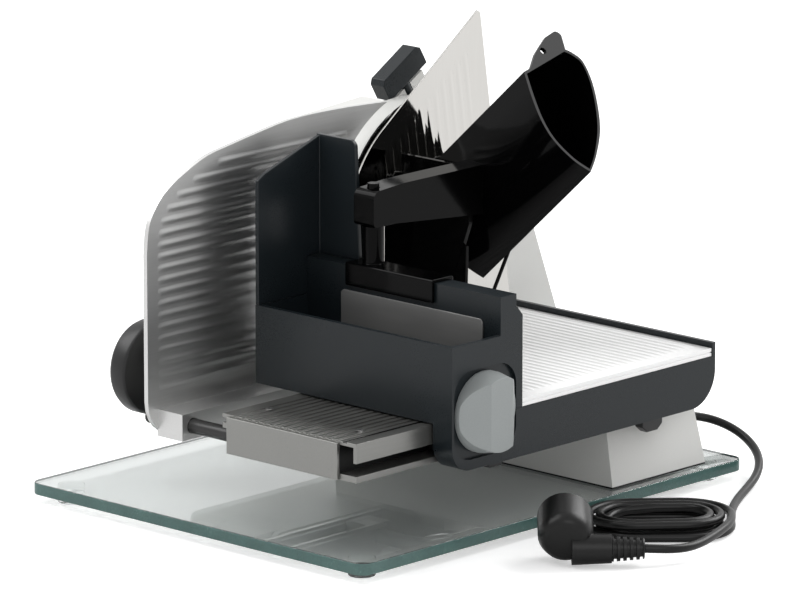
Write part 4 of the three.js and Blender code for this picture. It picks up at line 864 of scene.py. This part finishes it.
def smooth_route(points: list[Vector], per_span: int) -> list[Vector]:
    """Follows points on a centripetal Catmull-Rom curve.

    Args:
        points: the route's own points.
        per_span: steps between two of them.

    Returns:
        The points of the curve.
    """
    ends = [points[0] * 2 - points[1], *points, points[-1] * 2 - points[-2]]
    line: list[Vector] = []
    for before, start, stop, after in zip(ends, ends[1:], ends[2:], ends[3:]):
        spans = ((before, start), (start, stop), (stop, after))
        a, b, c = (math.sqrt((q - p).length) for p, q in spans)
        leave = ((start - before) / a - (stop - before) / (a + b) + (stop - start) / b) * b
        arrive = ((stop - start) / b - (after - start) / (b + c) + (after - stop) / c) * b
        for step in range(per_span):
            t = step / per_span
            line.append(
                start * (2 * t**3 - 3 * t**2 + 1) + leave * (t**3 - 2 * t**2 + t)
                + stop * (3 * t**2 - 2 * t**3) + arrive * (t**3 - t**2)
            )
    return [*line, points[-1].copy()]


@dataclass
class Cord:
    """Mains cord: from the gland on the pedestal into a hank of loops and out to an angled plug."""

    radius: float = 2.9
    gland: Point = (90.0, 175.86, 32.0)
    hank: tuple[float, float] = (198.0, 46.5)
    turn_deg: float = 45.0
    straight: float = 15.0
    inner: float = 17.7
    step: float = 7.0
    layer: float = 7.2
    first_loop: float = -0.25
    last_loop: float = 4.75
    lower_loops: float = 2.0
    climb: float = 0.5
    steps_per_loop: int = 48
    join: float = 0.3
    run_out: float = 10.6
    boot_run: float = 7.6
    boot_drop: float = 0.2
    soften: int = 3
    per_span: int = 4
    round_steps: int = 4
    boot: Point = (234.5, -39.7, 11.0)
    boot_deg: float = 45.0
    boot_length: float = 21.0
    lead: tuple[Point, ...] = (
        (0, 0, 0), (0, 8.4, 0), (1.7, 18.4, -0.3), (6.6, 27.2, -1.5), (14.4, 33.8, -3.6),
        (24, 37.3, -6.4), (34.8, 37.6, -9.7), (46, 35.3, -13.4), (56.6, 30.4, -17.1), (66.2, 23, -20.6),
        (74.4, 13.2, -23.7), (81.2, 1.4, -26.2), (87.2, -11.8, -27.9), (93.4, -25.4, -28.7),
        (100.4, -39.4, -29), (109, -54.4, -29), (119.4, -69.2, -29), (130.8, -83, -29.1),
    )
    tail: tuple[Point, ...] = (
        (246, 63.8, 10), (250.6, 52.5, 9.7), (254.6, 40.5, 9.3), (258.4, 28.5, 8.9), (261.8, 17, 8.6),
        (263.8, 6, 8.7), (263.4, -4.4, 9.2), (260.3, -13, 10),
    )

    def hank_place(self, t: float) -> Vector:
        """Follows the hank's line, inwards below and outwards on top.

        Args:
            t: loops from the hank's start.

        Returns:
            The place in millimetres.
        """
        low = self.lower_loops
        radius = self.inner + self.step * (low - min(t, low) + max(t - low - self.climb, 0))
        z = self.radius + self.layer * min(1, max(0, (t - low) / self.climb))
        run = self.straight * 2
        arc = math.pi * radius
        whole = 2 * run + 2 * arc
        s = ((t - math.floor(t)) * whole + run / 2) % whole
        if s < run:
            along, across = self.straight - s, radius
        elif s < run + arc:
            angle = math.pi / 2 + (s - run) / radius
            along, across = -self.straight + radius * math.cos(angle), radius * math.sin(angle)
        elif s < 2 * run + arc:
            along, across = -self.straight + (s - run - arc), -radius
        else:
            angle = -math.pi / 2 + (s - 2 * run - arc) / radius
            along, across = self.straight + radius * math.cos(angle), radius * math.sin(angle)
        turn = math.radians(self.turn_deg)
        x = self.hank[0] + along * math.cos(turn) + across * math.sin(turn)
        y = self.hank[1] + along * math.sin(turn) - across * math.cos(turn)
        return Vector((x, y, z))

    def route(self) -> list[Vector]:
        """Joins the lead, the hank and the tail.

        Returns:
            The cord's whole line in the row frame, in metres.
        """
        turn = math.radians(self.turn_deg)
        aside = Vector((math.sin(turn), -math.cos(turn), 0))
        boot_turn = math.radians(self.boot_deg)
        heading = Vector((math.cos(boot_turn), math.sin(boot_turn), 0))
        boot = Vector(self.boot)
        first = self.hank_place(self.first_loop)
        last = self.hank_place(self.last_loop)
        lead = [Vector(self.gland) + Vector(p) for p in self.lead] + [first - aside * self.join]
        tail = [last + aside * self.join, last + aside * self.run_out, *(Vector(p) for p in self.tail),
                boot + heading * (self.boot_length + self.boot_run) + Vector((0, 0, -self.boot_drop)),
                boot + heading * (self.boot_length + self.join)]
        turns = self.last_loop - self.first_loop
        count = round(turns * self.steps_per_loop)
        loops = [self.hank_place(self.first_loop + turns * i / count) for i in range(1, count)]
        way_in, way_out = (
            smooth_route(eased(part, self.soften), self.per_span) for part in (lead, tail)
        )
        return [at(*p) for p in way_in + loops + way_out]

    def build(self) -> None:
        """Builds the cord as one curve, and its gland, boot, plug and pins."""
        line = self.route()
        curve = bpy.data.curves.new("mains_cord", "CURVE")
        curve.dimensions = "3D"
        spline = curve.splines.new("POLY")
        spline.points.add(len(line) - 1)
        for point, place in zip(spline.points, line):
            point.co = (*place, 1.0)
        curve.bevel_depth = self.radius * MM
        curve.bevel_resolution = self.round_steps
        curve.use_fill_caps = True
        cord = bpy.data.objects.new("mains_cord", curve)
        bpy.context.scene.collection.objects.link(cord)
        finish_piece(cord, CORD_BLACK, Body.BASE, "cord_lead", "cord_hank", "cord_tail")
        ends = [Dressing(node, finish, Body.BASE, edge, 3).build() for node, finish, edge in (
            ("plug_boot", CORD_BLACK, 0.4), ("plug_body", CORD_BLACK, 1.4),
            ("plug_pin_1", PLAIN_STEEL, 0.3), ("plug_pin_2", PLAIN_STEEL, 0.3))]
        Dressing("cord_gland", CORD_BLACK, Body.BASE, 0.6).build()


@dataclass
class FloorPlate:
    """Ribbed deck of the carriage: a grooved slab, and ribs laid by Geometry Nodes."""

    pitch: float = 6.4
    rib_width: float = 3.84
    rib_height: float = 0.8
    border: float = 8.0
    groove: float = 0.8
    rib_inset: float = 1.0
    edge: float = 0.25

    def build(self) -> None:
        """Builds the slab and its ribs, which together stand for the solid."""
        low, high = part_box("carriage_floor")
        top = high.z - self.rib_height * MM
        self._slab(low, Vector((high.x, high.y, top)))
        span = high.y - low.y
        count = int(span / (self.pitch * MM)) - 1
        start = Vector((low.x + self.rib_inset * MM, high.y - self.pitch * MM, top))
        length = high.x - self.border * MM - start.x
        unit = rib_unit(start, length, self.rib_width * MM, self.rib_height * MM)
        step = (0.0, -self.pitch * MM, 0.0)
        ribs = row_tree().run("floor_ribs", unit, FLOOR_PLATE, Count=count, Step=step)
        finish_piece(ribs, FLOOR_PLATE, Body.CARRIAGE)

    def _slab(self, low: Vector, high: Vector) -> None:
        """Builds the slab with a groove along its right edge.

        Args:
            low: the slab's lowest corner.
            high: its highest corner.
        """
        bm = bmesh.new()
        depth = self.groove * MM
        middle = (low.z + high.z) / 2
        below, above, inside = middle - depth / 2, middle + depth / 2, high.x - depth
        section = [
            (low.x, low.z), (high.x, low.z), (high.x, below), (inside, below),
            (inside, above), (high.x, above), (high.x, high.z), (low.x, high.z),
        ]
        ends = [[bm.verts.new((x, y, z)) for x, z in section] for y in (low.y, high.y)]
        for i in range(len(section)):
            j = (i + 1) % len(section)
            bm.faces.new((ends[0][i], ends[0][j], ends[1][j], ends[1][i]))
        for ring in ends:
            bm.faces.new(ring)
        bmesh.ops.recalc_face_normals(bm, faces=bm.faces)
        round_edges(bm, self.edge)
        finish_piece(mesh_of("floor_slab", bm), FLOOR_PLATE, Body.CARRIAGE, "carriage_floor")


@dataclass
class RibbedSheet:
    """A sheet whose shallow ribs are laid by Geometry Nodes where the solid has its crests."""

    node: str
    name: str
    finish: Finish
    body: Body
    rise: float
    width: float
    pitch: float
    slant_deg: float
    edge: float
    crest_share: float = 0.6
    rise_margin: float = 1.05
    face_tilt: float = 0.999
    least_rib: float = 0.004

    def build(self) -> None:
        """Builds the plain sheet with a soft rim, and its ribs."""
        bm = merged_copy(self.node)
        face = self._face(bm)
        crest = face + self.rise * MM * self.crest_share
        ribs = self._crests([v.co for v in bm.verts if crest < v.co.x < self._top(face)])
        self._level(bm, face)
        flatten_seams(bm)
        if self.edge > 0:
            round_edges(bm, self.edge, 3)
        finish_piece(mesh_of(f"{self.name}_sheet", bm), self.finish, self.body, self.node)
        self._lay(ribs, face)

    def _top(self, face: float) -> float:
        """Args: face: the X of the sheet's face. Returns: an X just past the crests."""
        return face + self.rise * MM * self.rise_margin

    def _level(self, bm: bmesh.types.BMesh, face: float) -> None:
        """Takes the ribs off the sheet's face and closes the face with one flat.

        Args:
            bm: the merged solid.
            face: the X of the sheet's face.
        """
        top = self._top(face)
        ribbed = [f for f in bm.faces if all(face - MERGE < v.co.x < top for v in f.verts)]
        bmesh.ops.delete(bm, geom=ribbed, context="FACES")
        rim = [edge for edge in bm.edges if edge.is_boundary]
        bmesh.ops.triangle_fill(bm, edges=rim, use_beauty=True, normal=Vector((1.0, 0.0, 0.0)))

    def _face(self, bm: bmesh.types.BMesh) -> float:
        """Finds the plane that most of the sheet's right-hand side lies in.

        Args:
            bm: the merged solid.

        Returns:
            The plane's X.
        """
        areas: dict[float, float] = {}
        for part in bm.faces:
            if part.normal.x > self.face_tilt:
                level = round(part.calc_center_median().x, 5)
                areas[level] = areas.get(level, 0.0) + part.calc_area()
        return max(areas, key=lambda level: areas[level])

    def _along(self) -> tuple[float, float]:
        """Returns: the ribs' direction in the Y-Z plane."""
        slant = math.radians(self.slant_deg)
        return math.cos(slant), math.sin(slant)

    def _crests(self, points: list[Vector]) -> list[tuple[float, float, float]]:
        """Sorts the solid's crest points into ribs.

        Args:
            points: every point on a crest.

        Returns:
            For each rib its place across, its start and its end along its own direction, in metres.
        """
        c, s = self._along()
        spots = sorted((v.z * c - v.y * s, v.y * c + v.z * s) for v in points)
        groups: list[list[tuple[float, float]]] = []
        for spot in spots:
            if not groups or spot[0] - groups[-1][0][0] > self.pitch * MM / 2:
                groups.append([])
            groups[-1].append(spot)
        ribs = []
        for group in groups:
            across = [spot[0] for spot in group]
            along = [spot[1] for spot in group]
            ribs.append(((min(across) + max(across)) / 2, min(along), max(along)))
        return [rib for rib in ribs if rib[2] - rib[1] > self.least_rib]

    def _lay(self, ribs: list[tuple[float, float, float]], face: float) -> None:
        """Lays a rib at each place.

        Args:
            ribs: place across, start and end of each rib.
            face: the X of the sheet's face.
        """
        c, s = self._along()
        mesh = bpy.data.meshes.new("rib_places")
        spots = [(face, start * c - across * s, start * s + across * c) for across, start, _ in ribs]
        mesh.from_pydata(spots, [], [])
        reach = mesh.attributes.new("reach", "FLOAT", "POINT")
        reach.data.foreach_set("value", [end - start for _, start, end in ribs])
        unit = rib_unit(Vector(), 1.0, self.width * MM, self.rise * MM)
        turn = Matrix(((0, c, s), (0, -s, c), (1, 0, 0))).transposed().to_euler()
        places = link_mesh("rib_places", mesh)
        laid = rib_tree().run(f"{self.name}_ribs", places, self.finish, Rib=unit, Turn=tuple(turn))
        bpy.data.objects.remove(unit)
        finish_piece(laid, self.finish, self.body)


STOP_PLATE = RibbedSheet("stop_plate", "stop_plate", SATIN_PLATE, Body.STOP,
                         rise=0.5, width=6.4, pitch=7.8, slant_deg=0.0, edge=1.0)
COVER_PLATE = RibbedSheet("blade_cover_plate", "cover_plate", MIRROR_STEEL, Body.BASE,
                          rise=0.16, width=5.4, pitch=8.0, slant_deg=98.474, edge=0.3)


@dataclass
class BedScrews:
    """Screw heads in the bed's grooved top, set by Geometry Nodes."""

    radius: float = 2.6
    height: float = 0.7
    nodes: tuple[str, ...] = ("bed_screw_left", "bed_screw_right")

    def build(self) -> None:
        """Builds both heads as one piece, in the places of their solids."""
        corners = [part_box(node) for node in self.nodes]
        mesh = bpy.data.meshes.new("screw_places")
        mesh.from_pydata([(low + high) / 2 for low, high in corners], [], [])
        places = link_mesh("screw_places", mesh)
        heads = screw_tree().run("bed_screws", places, PLAIN_STEEL,
                                 Radius=self.radius * MM, Height=self.height * MM)
        finish_piece(heads, PLAIN_STEEL, Body.BASE, *self.nodes)


@dataclass
class PaintedShadeSheet:
    """A thin black plate that hangs below the chute's apron in front of the cover plate: a dark sheet
    of painted shade, put in the gap there.
    """

    near: float = 32.2
    far: float = 35.0
    edge: float = 0.5
    outline: tuple[tuple[float, float], ...] = (
        (-34.6, 134.0), (39.0, 132.0), (40.0, 168.0), (-34.6, 172.0),
    )

    def build(self) -> bpy.types.Object:
        """Builds the plate, a dark sheet of painted shade.

        Returns:
            The plate, carried by the chute.
        """
        bm = bmesh.new()
        front = bm.faces.new([bm.verts.new(at(x, self.near, z)) for x, z in self.outline])
        swept = bmesh.ops.extrude_face_region(bm, geom=[front])["geom"]
        shift = Vector((0.0, (self.far - self.near) * MM, 0.0))
        moved = [part for part in swept if isinstance(part, bmesh.types.BMVert)]
        bmesh.ops.translate(bm, vec=shift, verts=moved)
        bmesh.ops.recalc_face_normals(bm, faces=bm.faces)
        round_edges(bm, self.edge)
        # Gloss black here paints shade into the gap below the apron.
        return finish_piece(mesh_of("chute_skirt", bm), GLOSS_BLACK, Body.CHUTE)


@dataclass
class Machine:
    """Every rigid piece that keeps its solid's shape, with the radius of its edges in millimetres."""

    plan: list[Dressing] = field(default_factory=lambda: [
        TwoTone("glass_base", GLASS, Body.BASE, 0.8, 2, second=GLASS_EDGE),
        *(Dressing(f"glass_foot_{i}", CLEAR_FOOT, Body.BASE, 0.6) for i in (1, 2, 3, 4)),
        Dressing("pedestal", GREY_PAINT, Body.BASE, 1.6, 3),
        Dressing("base_gasket", CORD_BLACK, Body.BASE, 0.2),
        TwoTone("bed_extrusion", ANODISED, Body.BASE, 0.2, second=CHANNEL_DARK, picks=in_channel),
        Dressing("bed_cover_front", ANODISED, Body.BASE, 0.4),
        Dressing("bed_cover_rear", ANODISED, Body.BASE, 0.4),
        Dressing("motor_housing", GREY_PAINT, Body.BASE, 0.8),
        Dressing("machine_frame", GREY_PAINT, Body.BASE, 0.6),
        Dressing("front_bearing", PLAIN_STEEL, Body.BASE, 0.3),
        Dressing("rear_bearing", PLAIN_STEEL, Body.BASE, 0.3),
        Dressing("motor", PLAIN_STEEL, Body.BASE, 0.8),
        Dressing("motor_bracket", PLAIN_STEEL, Body.BASE, 0.3),
        Dressing("motor_worm", PLAIN_STEEL, Body.WORM, 0.0),
        Dressing("worm_wheel", NYLON, Body.BLADE, 0.0),
        Dressing("blade_shaft", PLAIN_STEEL, Body.BLADE, 0.3),
        Dressing("blade", BLADE_STEEL, Body.BLADE, 0.0, sharp_deg=20.0),
        Dressing("adjuster_nut", NYLON, Body.STOP, 0.3),
        Dressing("guide_rod_front", DARK_STEEL, Body.BASE, 0.5),
        Dressing("guide_rod_rear", DARK_STEEL, Body.BASE, 0.5),
        Dressing("thickness_knob", SATIN_BLACK, Body.DIAL, 0.4),
        Dressing("adjuster_spindle", PLAIN_STEEL, Body.DIAL, 0.4),
        Dressing("carriage", ANTHRACITE, Body.CARRIAGE, 1.0, 3),
        Dressing("hand_guard", ANTHRACITE, Body.CARRIAGE, 1.0, 3),
        Dressing("pusher_panel", PANEL_GREY, Body.CARRIAGE, 0.3),
        Dressing("runner_shoe", SATIN_BLACK, Body.CARRIAGE, 0.6),
        Dressing("glide_front", SATIN_BLACK, Body.CARRIAGE, 0.8),
        Dressing("glide_rear", SATIN_BLACK, Body.CARRIAGE, 0.8),
        Dressing("chute_saddle", GLOSS_BLACK, Body.CARRIAGE, 0.5),
        Dressing("feed_chute", GLOSS_BLACK, Body.CHUTE, 0.6, 3),
        Dressing("lock_knob", LOCK_GREY, Body.LOCK, 1.2, 3),
        Dressing("power_switch", ANTHRACITE, Body.SWITCH, 1.4, 3),
    ])

    def build(self) -> None:
        """Dresses each piece in turn."""
        for dressing in self.plan:
            dressing.build()


def main() -> None:
    """Builds the studio and every sub-assembly in order."""
    logging.basicConfig(level=logging.INFO)
    Studio().build()
    Cord().build()
    FloorPlate().build()
    STOP_PLATE.build()
    COVER_PLATE.build()
    BedScrews().build()
    # Dark sheet of painted shade below the chute's apron.
    PaintedShadeSheet().build()
    Machine().build()


if __name__ == "__main__":
    main()
